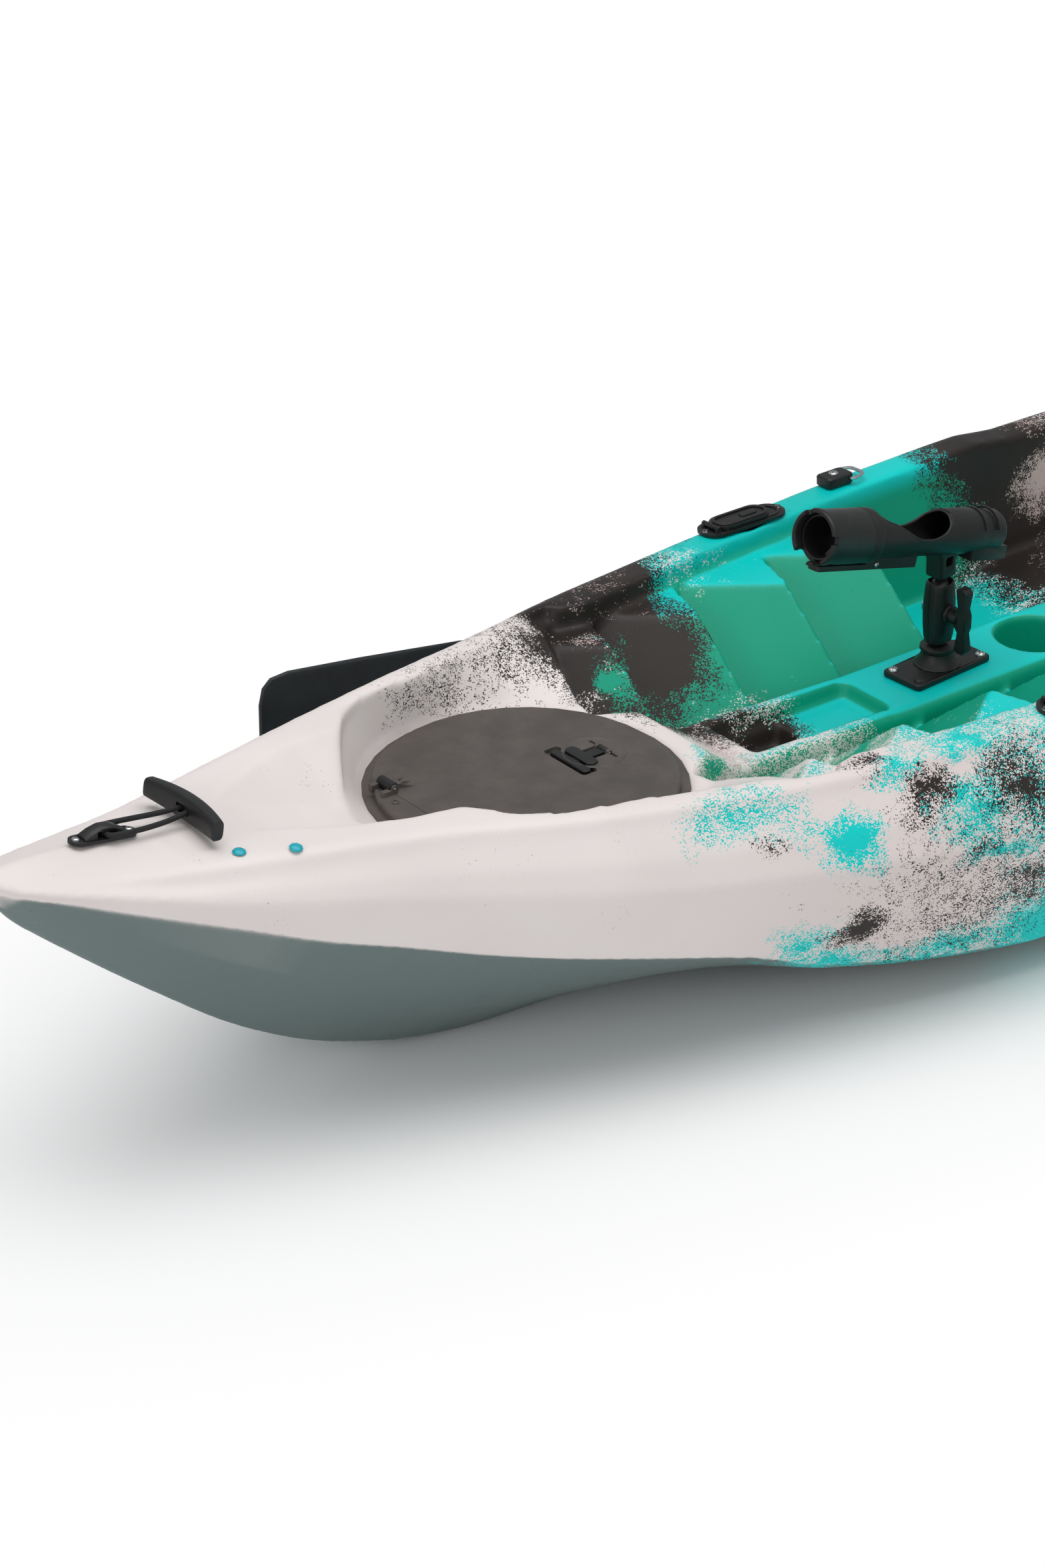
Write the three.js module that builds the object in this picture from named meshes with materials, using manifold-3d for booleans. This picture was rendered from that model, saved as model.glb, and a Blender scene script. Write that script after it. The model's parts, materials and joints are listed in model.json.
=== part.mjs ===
// Fishing kayak, sit-on-top, with its deck fittings and paddle.
// Millimetres. +X points to the bow, +Y to port, +Z up. The origin is under the hull's middle, at keel level.

import * as THREE from 'three';
import { mergeVertices } from 'three/addons/utils/BufferGeometryUtils.js';
import Module from 'manifold-3d';

const wasm = await Module();
wasm.setup();

// Driving dimensions of the hull
const hullLength = 3500;
const hullBeam = 790;
const hullDepth = 317;
const hullWall = 6;
const halfBeam = hullBeam / 2;

// Clearances
const touchGap = 0.3;
const overrunShare = 0.02;
const edgeBreak = 1;
const quarterTurn = 90;
const halfTurn = 180;

// Number of sides on round things
const hatchSides = 36;
const cupSides = 28;
const scupperSides = 12;
const roundSides = 14;
const smallSides = 8;
const cordSides = 6;
const hexSides = 6;
const tubeSides = 24;
const cornerSteps = 3;
const sampleSteps = 9;

// Hull lines. Each row is a share of the hull's length aft of the bow, and a share of the size that is named.
const keelHeightShares = [
  [0, 1.18], [0.003, 1.115], [0.008, 1.045], [0.022, 0.905], [0.058, 0.574], [0.091, 0.303], [0.121, 0.132],
  [0.153, 0.03], [0.183, 0], [0.8, 0], [0.85, 0.03], [0.9, 0.15], [0.94, 0.37], [0.968, 0.62], [0.988, 0.86],
  [1, 1],
];
const keelHalfShares = [[0, 0.015], [0.05, 0.02], [0.13, 0.04], [0.19, 0.085], [0.25, 0.105], [0.8, 0.105], [0.92, 0.04], [1, 0.02]];
const gunwaleHalfShares = [
  [0, 0.03], [0.007, 0.085], [0.023, 0.14], [0.069, 0.25], [0.134, 0.405], [0.19, 0.557], [0.237, 0.655],
  [0.268, 0.719], [0.298, 0.765], [0.355, 0.823], [0.421, 0.873], [0.486, 0.891], [0.585, 0.886], [0.686, 0.85],
  [0.771, 0.78], [0.843, 0.68], [0.9, 0.55], [0.943, 0.42], [0.977, 0.27], [0.994, 0.15], [1, 0.06],
];
const gunwaleHeightShares = [
  [0, 1.222], [0.023, 1.196], [0.069, 1.155], [0.134, 1.117], [0.186, 1.063], [0.236, 1.025], [0.266, 1.012],
  [0.32, 1], [0.483, 1], [0.498, 0.974], [0.66, 0.966], [0.743, 0.978], [0.829, 1.01], [0.914, 1.06], [1, 1.12],
];
const crownShares = [
  [0, 0.03], [0.017, 0.05], [0.036, 0.05], [0.071, 0.022], [0.095, 0], [0.88, 0], [0.93, 0.02], [0.97, 0.03],
  [1, 0.012],
];
const creaseHalfShares = [
  [0, 0.038], [0.007, 0.105], [0.028, 0.188], [0.051, 0.256], [0.074, 0.32], [0.097, 0.385], [0.119, 0.443],
  [0.159, 0.56], [0.2, 0.684], [0.244, 0.79], [0.289, 0.894], [0.336, 0.952], [0.414, 0.99], [0.486, 1],
  [0.586, 0.998], [0.686, 0.957], [0.771, 0.876], [0.843, 0.76], [0.9, 0.615], [0.943, 0.466], [0.977, 0.304],
  [0.994, 0.175], [1, 0.07],
];
const creaseHeightShares = [
  [0, 1.222], [0.028, 1.155], [0.074, 1.025], [0.119, 0.94], [0.159, 0.858], [0.2, 0.79], [0.244, 0.738],
  [0.289, 0.707], [0.336, 0.666], [0.414, 0.65], [0.586, 0.643], [0.686, 0.656], [0.771, 0.68], [0.843, 0.72],
  [0.9, 0.776], [0.943, 0.84], [0.977, 0.915], [1, 1.0],
];
const chineHalfShares = [
  [0, 0.034], [0.007, 0.1], [0.028, 0.18], [0.051, 0.245], [0.074, 0.308], [0.097, 0.37], [0.119, 0.423],
  [0.149, 0.504], [0.173, 0.57], [0.198, 0.632], [0.235, 0.704], [0.264, 0.73], [0.297, 0.81], [0.322, 0.852],
  [0.346, 0.88], [0.42, 0.915], [0.5, 0.925], [0.6, 0.92], [0.686, 0.885], [0.771, 0.805], [0.843, 0.69],
  [0.9, 0.552], [0.943, 0.412], [0.977, 0.263], [0.994, 0.152], [1, 0.06],
];
const chineHeightShares = [
  [0, 1.205], [0.011, 1.175], [0.028, 1.11], [0.051, 1.016], [0.074, 0.924], [0.097, 0.827], [0.119, 0.75],
  [0.149, 0.64], [0.173, 0.567], [0.198, 0.5], [0.235, 0.397], [0.264, 0.265], [0.297, 0.21], [0.346, 0.155],
  [0.43, 0.135], [0.6, 0.135], [0.686, 0.15], [0.771, 0.19], [0.843, 0.285], [0.9, 0.42], [0.943, 0.58],
  [0.977, 0.76], [1, 0.95],
];
// How far the bottom has turned from the bow's plain V to the keel with a pontoon on each side
const pontoonShares = [[0, 0], [0.25, 0], [0.29, 0.4], [0.4, 1], [0.72, 1], [0.86, 0], [1, 0]];
const bottomHalfShares = [0.34, 0.52, 0.68];
const pontoonHeightShares = [0.12, 0.004, 0.004];
const bottomFullness = 1.35;
const keelFlareShare = 1.02;
const sideFullShare = 0.12;
const shoulderFullShare = 0.14;

// Bow valley: floor height along the deck
const valleyShares = [
  [0.0571, 1.278], [0.0829, 1.17], [0.1, 1.091], [0.12, 1.0], [0.1366, 0.95], [0.16, 0.915],
];
const valleyHalf = 40;
const valleyFlare = 1.4;

// Round hatch and the recess it lies in. Half outlines from the bow's side aft, at the floor and at the crest.
const hatchStationShare = 0.2057;
const hatchRadius = 176;
const recessFloorHeight = 268;
const ledgeHeight = 260;
const ledgeRadius = 189;
const hatchHoleRadius = 158;
const recessFloorShares = [
  [0.1509, 0], [0.152, 0.101], [0.1549, 0.182], [0.1626, 0.299], [0.1743, 0.397], [0.1889, 0.463],
  [0.2057, 0.486], [0.2243, 0.466], [0.2429, 0.385], [0.2586, 0.299], [0.2686, 0.243], [0.2749, 0.203],
];
const recessCrestShares = [
  [0.136, 0, 0.95], [0.1394, 0.081, 0.953], [0.1457, 0.142, 0.965], [0.1551, 0.256, 1.009],
  [0.1677, 0.375, 1.041], [0.1843, 0.461, 1.041], [0.204, 0.514, 1.035], [0.2243, 0.577, 1.035],
  [0.2429, 0.623, 1.035], [0.2586, 0.648, 1.009], [0.2686, 0.663, 0.959], [0.2749, 0.668, 0.959],
];

// Cockpit: footwells either side of the console, opening aft into the seat well
const gunwaleWidth = 52;
const cockpitFloorHeight = 134;
const cockpitDraft = 16;
const footwellFrontShares = [
  [0.2523, 0], [0.2526, 0.243], [0.2549, 0.329], [0.2586, 0.435], [0.2643, 0.562], [0.2714, 0.643],
];
const cockpitSideShares = [0.285, 0.315, 0.36, 0.42, 0.483, 0.498, 0.56, 0.62];
const cockpitBackShares = [[0.634, 0.52], [0.6371, 0.4], [0.6371, 0]];
const consoleShares = [
  [0.2457, 0.845, 0.248], [0.2523, 0.845, 0.246], [0.26, 0.845, 0.213], [0.2671, 0.839, 0.182],
  [0.2743, 0.776, 0.167], [0.2829, 0.722, 0.162], [0.3057, 0.713, 0.162], [0.3571, 0.691, 0.162],
  [0.4457, 0.691, 0.162], [0.4643, 0.685, 0.157], [0.4757, 0.599, 0.147], [0.4857, 0.473, 0.132],
];
const consoleFlare = 10;
const consoleRound = 8;
const seatRiseShares = [
  [0.4457, 0.404], [0.4686, 0.423], [0.4857, 0.479], [0.56, 0.498], [0.6257, 0.53], [0.6571, 0.53],
];

// Saw-tooth foot braces
const toothCrestShares = [0.2831, 0.3223, 0.3623, 0.402];
const toothTopHeight = 290;
const toothTopHalf = 180;
const toothSideSlope = 0.806;
const toothForeSlope = 0.577;
const toothSweep = 0.27;
const toothSkirt = 30;

// Console tray, with a deeper part ahead, and cup holder
const trayFrontShare = 0.293;
const trayStepShare = 0.322;
const trayBackShare = 0.354;
const trayHalf = 43;
const trayDeepHalf = 35;
const trayFloorHeight = 201;
const trayDeepFloorHeight = 176;
const cupStationShare = 0.4317;
const cupRadius = 48.5;
const cupFloorHeight = 150;
const cupLipWidth = 5;
const cupLipHeight = 3;
const wellDraft = 4;

// Tank well
const tankFrontShare = 0.686;
const tankBackShare = 0.88;
const tankFloorHeight = 190;
const tankRimWidth = 58;
const tankDraft = 14;
const tankCornerShare = 0.8;
const tankStations = 7;

// Scupper tubes through the hull: station share, half beam share
const scupperShares = [[0.448, 0.32], [0.59, 0.42], [0.745, 0.3]];
const scupperRadius = 14;

// Carry handles at bow and stern: pad eye, cord loop and T grip
const eyeStationShares = [0.0423, 0.9577];
const eyeLength = 56;
const eyeWidth = 14;
const eyeBase = 4;
const eyeBridge = 11;
const eyeBridgeRadius = 8;
const cordHeight = 8;
const cordRadius = 3.5;
const cordBore = 4.2;
const cordHalf = 14;
const cordCorner = 8;
const cordReach = 92;
const gripLength = 130;
const gripRadius = 11;
const gripWaistShare = 0.72;
const gripEndShare = 1.08;
const gripOffset = 17;
const gripLift = 0.6;

// Round hatch: rim with its fixed front segment, gasket, lid, hinge pins, latch
const chordOffset = 142;
const rimBore = 150;
const rimWall = 4;
const rimFlangeTop = 266;
const rimNeckLow = 238;
const lidTop = 276;
const lidUnder = 269;
const lidRimWidth = 7;
const lidRimLow = 266.6;
const lidLocatorLow = 262;
const lidLocatorRadius = 147;
const lidLocatorWidth = 5;
const gasketInner = 157;
const gasketOuter = 165;
const gasketLow = 266.3;
const gasketTop = 268.7;
const gasketCrown = 0.8;
const hingeHalfSpan = 73;
const hingeHeight = 282;
const knuckleRadius = 5;
const knuckleLength = 14;
const knuckleGap = 1;
const earLength = 7;
const webLength = 16;
const webLow = 273;
const segmentLow = 265;
const grooveClear = 1;
const flangeClear = 1.5;
const lidEdge = 2;
const chordGap = 0.6;
const pinRadius = 2;
const pinBore = 2.5;
const latchPivotOffset = 112;
const latchStemLength = 48;
const latchStemHalf = 7;
const latchBarHalf = 33;
const latchBarRadius = 6;
const latchThickness = 5;
const latchPocketFloor = 270.4;
const latchPocketClear = 5;
const latchLift = 0.5;
const latchBarHeight = 6;
const latchPinHeight = 275;
const latchPinLength = 25;
const latchEyeRadius = 4;
const latchLugWidth = 5;

// Adjustable rod holder
const rodStationShare = 0.3857;
const rodYaw = 4.5;
const plateLength = 128;
const plateWidth = 62;
const plateThick = 8;
const plateCorner = 7;
const plateBevel = 1.5;
const plateScrewX = 54;
const plateScrewY = 21;
const plateScrewHole = 2.7;
const coneRadius = 30;
const coneHeight = 36;
const coneShares = [
  [0, 0], [1, 0], [0.733, 0.278], [0.633, 0.5], [0.733, 0.556], [0.733, 0.694], [0.3, 0.778], [0.267, 1], [0, 1],
];
const countersinkRadius = 6;
const countersinkRise = 4;
const countersinkDepth = 3.4;
const baseScrewClear = 0.4;
const baseScrewShank = 3;
const baseScrewEdge = 1.2;
const baseScrewDome = 2.2;
const ballRadius = 13;
const ballHeight = 40;
const ballSpread = 60;
const neckRadius = 7.5;
const socketRadius = 13.6;
const mouthRadius = 16;
const mouthHeight = 13;
const clampHalfHeight = 41;
const clampHalfWidth = 19;
const clampDepth = 17;
const clampCorner = 6;
const boltRadius = 4;
const boltBore = 4.6;
const boltHeadRadius = 8;
const boltHeadLength = 5;
const boltTail = 30;
const knobFlangeRadius = 12;
const knobFlange = 4;
const knobHubRadius = 9;
const knobHubLength = 12;
const knobReach = 32;
const knobHalf = 43;
const knobWingShares = [
  [0.375, 0], [0.375, 0.209], [0.5625, 0.372], [0.4375, 0.93], [0.5625, 1], [0.875, 1], [1, 0.884],
  [0.875, 0.372], [0.969, 0.186], [0.969, 0],
];
const knobWingThick = 13;
const neckBlockLength = 30;
const neckBlockWidth = 26;
const neckBlockHeight = 42;
const neckWindow = 12;
const neckBlockLift = 18;
const tubeLift = 74;
const tubePitch = 15.7;
const tubeRadius = 28;
const tubeBore = 24.5;
const tubeRear = -93;
const tubeFloor = -86;
const tubeFore = 220;
const tubeSkinShares = [
  [0, 0], [0.75, 0], [0.911, 0.0128], [0.911, 0.0288], [0.982, 0.0319], [0.982, 0.0415], [0.911, 0.0447],
  [0.911, 0.0735], [0.982, 0.0767], [0.982, 0.0863], [0.911, 0.0895], [1, 0.1534], [1, 1],
];
const collarRadius = 33;
const collarBore = 28.5;
const collarFrom = 138;
const collarTo = 228;
const collarNotchDepth = 20;
const collarNotchWidth = 16;
const collarNotchTurn = 35;
const saddleRear = 6;
const saddleLength = 128;
const saddleShares = [
  [0, 2.143], [0.0625, 0.571], [0.203, 0.143], [0.391, -0.036], [0.609, 0.143], [0.8125, 0.571], [0.953, 0.75],
  [1, 2.143],
];
const lugLength = 36;
const lugWidth = 26;
const lugHeight = 14;
const lugDrop = 20;

// Flush rod holders in the gunwales
const flushShares = [0.37, 0.662];
const flushInset = 27;
const flangeLength = 128;
const flangeWidth = 44;
const flangeThick = 4;
const flushPitch = 35;
const flushBore = 14;
const flushTubeRadius = 17;
const flushTubeClear = 18.5;
const flushDepth = 165;
const flushBoreOffset = 8;
const capLength = 84;
const capWidth = 38;
const capThick = 5;
const capLift = 4.3;
const capHingeX = 48;
const capHingeHeight = 8;
const capKnuckleRadius = 3.4;
const capKnuckleLength = 20;
const capPinRadius = 1.6;
const capPinBore = 2.1;
const capEarWidth = 5;
const flangeScrewHead = 4.5;
const flangeScrewX = 58;
const screwHeadHeight = 2;

// Eyelets with D rings, blanking screws
const eyeletShare = 0.4177;
const eyeletInset = 25;
const eyeletLength = 42;
const eyeletWidth = 28;
const eyeletHeight = 14;
const eyeletCorner = 6;
const ringWire = 2.2;
const ringBore = 2.7;
const ringHeight = 8;
const ringHalf = 20.5;
const ringReach = 24;
const ringBackHalf = 13;
const ringCorner = 6;
const ringBoreX = 14;
const blankShares = [[0.0766, 0.205], [0.0929, 0.266]];
const blankHole = 3.4;
const blankShank = 3;
const blankShankLength = 12;
const blankHeadEdge = 1.5;
const blankDome = 5;
const blankHead = 8;
const blankHeadHeight = 3.5;

// Side carry handles
const sideShare = 0.53;
const sideHeightShare = 0.84;
const sidePlateLength = 150;
const sidePlateWidth = 24;
const sidePlateThick = 4;
const sideEarLength = 12;
const sideEarHeight = 18;
const sideEarX = 62;
const sideAxisHeight = 10;
const sideWire = 4;
const sideWireBore = 4.6;
const sideDrop = 40;
const sideStand = 15;
const sideGripRadius = 10;
const sideGripLength = 88;
const sideArmX = 50;

// Drain plug
const drainShare = 0.905;
const drainHole = 9.6;
const drainClear = 0.6;
const drainDepth = 14;
const drainHead = 15;
const drainHeadEdge = 4;
const drainDome = 12;
const drainHeadHeight = 7;
const drainGripLength = 24;
const drainGripWidth = 5;
const drainGripHeight = 8;

// Bungee over the tank well
const bungeeShares = [0.72, 0.85];
const bungeeInset = 30;
const bungeeRadius = 3;
const bungeeBore = 3.7;
const bungeeHeight = 9;
const bungeeCorner = 18;
const hookLength = 26;
const hookWidth = 16;
const hookHeight = 15;
const hookAlongShare = 0.72;

// Paddle, stowed along the starboard side with its blades upright
const paddleY = -415;
const paddleHeightShare = 0.5363;
const paddleTipShare = 0.1831;
const paddleLength = 2200;
const shaftRadius = 15;
const shaftBore = 13.5;
const spigotRadius = 12.9;
const bondLength = 12;
const sleeveBore = 15.7;
const spigotBore = 11.5;
const spigotLength = 90;
const bladeLength = 430;
const bladeThick = 6;
const bladeBevel = 2;
const bladeHalf = 87;
const bladeShares = [[0, 0.62], [0.012, 0.86], [0.04, 0.98], [0.1, 1], [0.35, 0.83], [0.7, 0.56], [0.9, 0.3], [1, 0.2]];
const sleeveRadius = 18.5;
const sleeveLength = 90;
const sleeveDepth = 60;
const spineLength = 170;
const spineRadius = 7;
const dripShare = 0.1224;
const dripRadius = 24;
const dripWidth = 9;
const clipShare = 0.2;
const clipLength = 26;
const clipRadius = 19;
const clipTop = 10;
const clipBack = 22;
const clipBore = 15.9;

// Where the moulded shell is told apart into the hull's five pieces
const bowSplitShare = 0.2743;
const seatSplitShare = 0.4543;
const sternSplitShare = 0.66;
const partingDrop = 5;

// Stations at which the hull is lofted, as shares of its length
const hullStationShares = [
  0, 0.003, 0.008, 0.016, 0.028, 0.045, 0.066, 0.09, 0.115, 0.14, 0.165, 0.19, 0.215, 0.24, 0.255, 0.27, 0.295,
  0.325, 0.36, 0.42, 0.48, 0.5, 0.56, 0.62, 0.68, 0.73, 0.77, 0.81, 0.845, 0.875, 0.905, 0.93, 0.952, 0.97,
  0.984, 0.994, 1,
];
const holdStationShares = [
  0.028, 0.045, 0.066, 0.09, 0.115, 0.14, 0.165, 0.19, 0.215, 0.24, 0.27, 0.325, 0.42, 0.48, 0.5, 0.62, 0.73,
  0.77, 0.81, 0.845, 0.875, 0.905, 0.93, 0.952, 0.97,
];
const edgeRound = 16;
const edgeRoundShare = 0.3;
const edgeRiseShare = 0.55;
const edgeBulgeShare = 0.3;

// A smooth curve through a table of rows, that never swings past its own points
function along(table, station) {
  const last = table.length - 1;
  if (station <= table[0][0]) return table[0][1];
  if (station >= table[last][0]) return table[last][1];
  const slopes = table.slice(1).map((row, i) => (row[1] - table[i][1]) / (row[0] - table[i][0]));
  const tangent = (i) => {
    if (i === 0) return slopes[0];
    if (i === last) return slopes[last - 1];
    const product = slopes[i - 1] * slopes[i];
    return product <= 0 ? 0 : (2 * product) / (slopes[i - 1] + slopes[i]);
  };
  let row = 0;
  while (table[row + 1][0] < station) row += 1;
  const span = table[row + 1][0] - table[row][0];
  const t = (station - table[row][0]) / span;
  const rise = t * t * (3 - 2 * t);
  const start = t * (1 - t) * (1 - t) * span * tangent(row);
  const end = t * t * (t - 1) * span * tangent(row + 1);
  return table[row][1] + rise * (table[row + 1][1] - table[row][1]) + start + end;
}

const atStation = (station) => hullLength * (0.5 - station);
const gunwaleHalf = (station) => halfBeam * along(gunwaleHalfShares, station);
const gunwaleHeight = (station) => hullDepth * along(gunwaleHeightShares, station);
const creaseHalf = (station) => halfBeam * along(creaseHalfShares, station);
const creaseHeight = (station) => hullDepth * along(creaseHeightShares, station);

// Geometry helpers
function solidOf(geometry) {
  const bare = geometry.clone();
  bare.deleteAttribute('normal');
  bare.deleteAttribute('uv');
  const merged = mergeVertices(bare);
  return new wasm.Manifold(new wasm.Mesh({
    numProp: 3,
    vertProperties: Float32Array.from(merged.attributes.position.array),
    triVerts: Uint32Array.from(merged.index.array),
  }));
}

function geometryOf(solid) {
  const mesh = solid.getMesh();
  const geometry = new THREE.BufferGeometry();
  geometry.setAttribute('position', new THREE.BufferAttribute(Float32Array.from(mesh.vertProperties), 3));
  geometry.setIndex(new THREE.BufferAttribute(Uint32Array.from(mesh.triVerts), 1));
  return geometry;
}

function closedGeometry(points, faces) {
  let volume = 0;
  const a = new THREE.Vector3();
  faces.forEach(([i, j, k]) => {
    volume += a.copy(points[i]).cross(points[j]).dot(points[k]);
  });
  const outward = volume < 0 ? faces.map(([i, j, k]) => [i, k, j]) : faces;
  const geometry = new THREE.BufferGeometry();
  geometry.setFromPoints(points);
  geometry.setIndex(outward.flat());
  return geometry;
}

// Joins rings of the same number of points, and closes both ends, flattened as the last argument says
function loftGeometry(rings, flatten = (p) => [p.y, p.z]) {
  const count = rings[0].length;
  const points = rings.flat();
  const faces = [];
  for (let r = 0; r < rings.length - 1; r += 1) {
    for (let i = 0; i < count; i += 1) {
      const next = (i + 1) % count;
      const a = r * count + i;
      const b = r * count + next;
      faces.push([a, b, b + count], [a, b + count, a + count]);
    }
  }
  const capOf = (ring, base, flip) => {
    const outline = ring.map((p) => new THREE.Vector2(...flatten(p)));
    THREE.ShapeUtils.triangulateShape(outline, []).forEach(([i, j, k]) => {
      faces.push(flip ? [base + i, base + k, base + j] : [base + i, base + j, base + k]);
    });
  };
  capOf(rings[0], 0, true);
  capOf(rings[rings.length - 1], (rings.length - 1) * count, false);
  return closedGeometry(points, faces);
}

const sectionRing = (x, outline) => outline.map(([y, z]) => new THREE.Vector3(x, y, z));
const mirrored = (half) => {
  const other = half.filter(([y]) => y > 0).map(([y, z]) => [-y, z]).reverse();
  return half.concat(other);
};

// Moves a closed outline outward by a distance, or inward by a negative one
function offsetOutline(outline, distance) {
  const mitreLimit = 2;
  return outline.map((point, i) => {
    const before = outline[(i + outline.length - 1) % outline.length];
    const after = outline[(i + 1) % outline.length];
    const inEdge = new THREE.Vector2(point[0] - before[0], point[1] - before[1]).normalize();
    const outEdge = new THREE.Vector2(after[0] - point[0], after[1] - point[1]).normalize();
    const normal = new THREE.Vector2(inEdge.y + outEdge.y, -inEdge.x - outEdge.x).normalize();
    const reach = Math.max(normal.dot(new THREE.Vector2(inEdge.y, -inEdge.x)), 1 / mitreLimit);
    return [point[0] + (normal.x * distance) / reach, point[1] + (normal.y * distance) / reach];
  });
}

// The hull's outline at a station, from the keel's middle up the port side to the deck's middle
function hullHalfOutline(station, fine) {
  const keelZ = hullDepth * along(keelHeightShares, station);
  const keelY = halfBeam * along(keelHalfShares, station);
  const chineY = halfBeam * along(chineHalfShares, station);
  const chineZ = hullDepth * along(chineHeightShares, station);
  const creaseY = creaseHalf(station);
  const creaseZ = creaseHeight(station);
  const topY = gunwaleHalf(station);
  const topZ = gunwaleHeight(station);
  const turned = along(pontoonShares, station);
  const round = Math.min(edgeRound, topY * edgeRoundShare, (topZ - creaseZ) * edgeRiseShare);
  const bottom = bottomHalfShares.map((share, i) => {
    const vee = keelZ + (chineZ - keelZ) * share ** bottomFullness;
    const flat = hullDepth * pontoonHeightShares[i] + keelZ;
    return [Math.max(chineY * share, keelY * keelFlareShare), THREE.MathUtils.lerp(vee, flat, turned)];
  });
  const sideY = (chineY + creaseY) / 2 + (creaseY - chineY) * sideFullShare;
  const sideZ = (chineZ + creaseZ) / 2;
  const shoulderY = (creaseY + topY) / 2 + (creaseY - topY) * shoulderFullShare;
  const shoulderZ = (creaseZ + topZ - round) / 2;
  const edge = fine
    ? [[topY, topZ - round], [topY - round * edgeBulgeShare, topZ - round * edgeBulgeShare], [topY - round, topZ]]
    : [[topY, topZ - round], [topY - round, topZ]];
  const sides = fine ? [[sideY, sideZ], [creaseY, creaseZ], [shoulderY, shoulderZ]] : [[creaseY, creaseZ]];
  return [
    [0, keelZ],
    [keelY, keelZ],
    ...bottom,
    [chineY, chineZ],
    ...sides,
    ...edge,
    [0, topZ + hullDepth * along(crownShares, station)],
  ];
}

function hullBody() {
  const rings = hullStationShares.map((station) => sectionRing(atStation(station),
    mirrored(hullHalfOutline(station, true))));
  return solidOf(loftGeometry(rings.reverse()));
}

// The hollow inside the shell, before the deck's recesses are taken from it
function holdBody(wall) {
  const rings = holdStationShares.map((station) => sectionRing(atStation(station),
    offsetOutline(mirrored(hullHalfOutline(station, false)), -wall)));
  return solidOf(loftGeometry(rings.reverse()));
}

// A bar along the hull with a level top. Rows are station share, height share, half width share.
function barBody(rows, low, flare, round, grow) {
  const rings = rows.map(([station, height, half]) => {
    const top = hullDepth * height;
    const side = halfBeam * half;
    return sectionRing(atStation(station), offsetOutline([
      [-side - flare, low], [side + flare, low], [side, top - round], [side - round, top],
      [round - side, top], [-side, top - round],
    ], grow));
  });
  return solidOf(loftGeometry(rings.reverse()));
}

// A straight-sided well sunk into the deck. The plan is an outline seen from above, turning to port.
function wellBody(plan, floor, rim, draft, grow) {
  const ring = (distance, height) => offsetOutline(plan, distance).map(([x, y]) => new THREE.Vector3(x, y, height));
  const rings = [ring(grow - draft, floor - grow), ring(grow, rim), ring(grow, rim + hullDepth)];
  return solidOf(loftGeometry(rings, (p) => [p.x, p.y]));
}

const planRow = ([station, half]) => [atStation(station), halfBeam * half];
const wholePlan = (half) => {
  const starboard = half.filter(([, y]) => y > 0).map(([x, y]) => [x, -y]);
  return starboard.reverse().concat(half);
};
const discPlan = (x, radius, sides) => Array.from({ length: sides }, (_, i) => {
  const turn = (i / sides) * Math.PI * 2;
  return [x + radius * Math.cos(turn), radius * Math.sin(turn)];
});
const slabPlan = (front, back, half) => [[atStation(front), -half], [atStation(front), half],
  [atStation(back), half], [atStation(back), -half]];

function valleyCut(grow) {
  const rings = valleyShares.map(([station, height]) => {
    const floor = hullDepth * height;
    const top = floor + hullDepth;
    const rim = valleyHalf + hullDepth * valleyFlare;
    const outline = [[-valleyHalf, floor], [valleyHalf, floor], [rim, top], [-rim, top]];
    return sectionRing(atStation(station), offsetOutline(outline, grow));
  });
  return solidOf(loftGeometry(rings.reverse()));
}

function hatchRecessCut(grow) {
  const floorPlan = offsetOutline(wholePlan(recessFloorShares.map(planRow)), grow);
  const crestPlan = offsetOutline(wholePlan(recessCrestShares.map(planRow)), grow);
  const heights = recessCrestShares.map((row) => hullDepth * row[2]);
  const crestHeights = heights.slice(1).reverse().concat(heights);
  const rings = [
    floorPlan.map(([x, y]) => new THREE.Vector3(x, y, recessFloorHeight - grow)),
    crestPlan.map(([x, y], i) => new THREE.Vector3(x, y, crestHeights[i])),
    crestPlan.map(([x, y]) => new THREE.Vector3(x, y, hullDepth * 2)),
  ];
  const apron = solidOf(loftGeometry(rings, (p) => [p.x, p.y]));
  const ledge = wellBody(discPlan(atStation(hatchStationShare), ledgeRadius, hatchSides), ledgeHeight,
    recessFloorHeight, 0, grow);
  return apron.add(ledge);
}

// One foot brace on the port side: a sloping face ahead of an upright one
function toothBody(crest, grow) {
  const x = atStation(crest);
  const height = toothTopHeight - grow;
  const length = hullLength * (toothCrestShares[1] - toothCrestShares[0]);
  const low = cockpitFloorHeight - toothSkirt;
  const block = solidOf(new THREE.BoxGeometry(length + toothSkirt, halfBeam, height - low))
    .translate([x + (length - toothSkirt) / 2 + grow, halfBeam / 2, (height + low) / 2]);
  const slope = new THREE.Vector3(-toothForeSlope, toothSideSlope, -1).normalize();
  const slopePoint = new THREE.Vector3(x, toothTopHalf, toothTopHeight);
  const upright = new THREE.Vector3(1, 0, 0);
  const swept = new THREE.Vector3(1, toothSweep, 0).normalize();
  const corner = new THREE.Vector3(x, toothTopHalf, 0);
  const trimmed = block.trimByPlane(slope.toArray(), slope.dot(slopePoint) + grow);
  const inner = trimmed.trimByPlane(upright.toArray(), x + grow);
  const outer = trimmed.trimByPlane(swept.toArray(), swept.dot(corner) + grow)
    .trimByPlane([0, 1, 0], toothTopHalf);
  return inner.add(outer);
}

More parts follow.
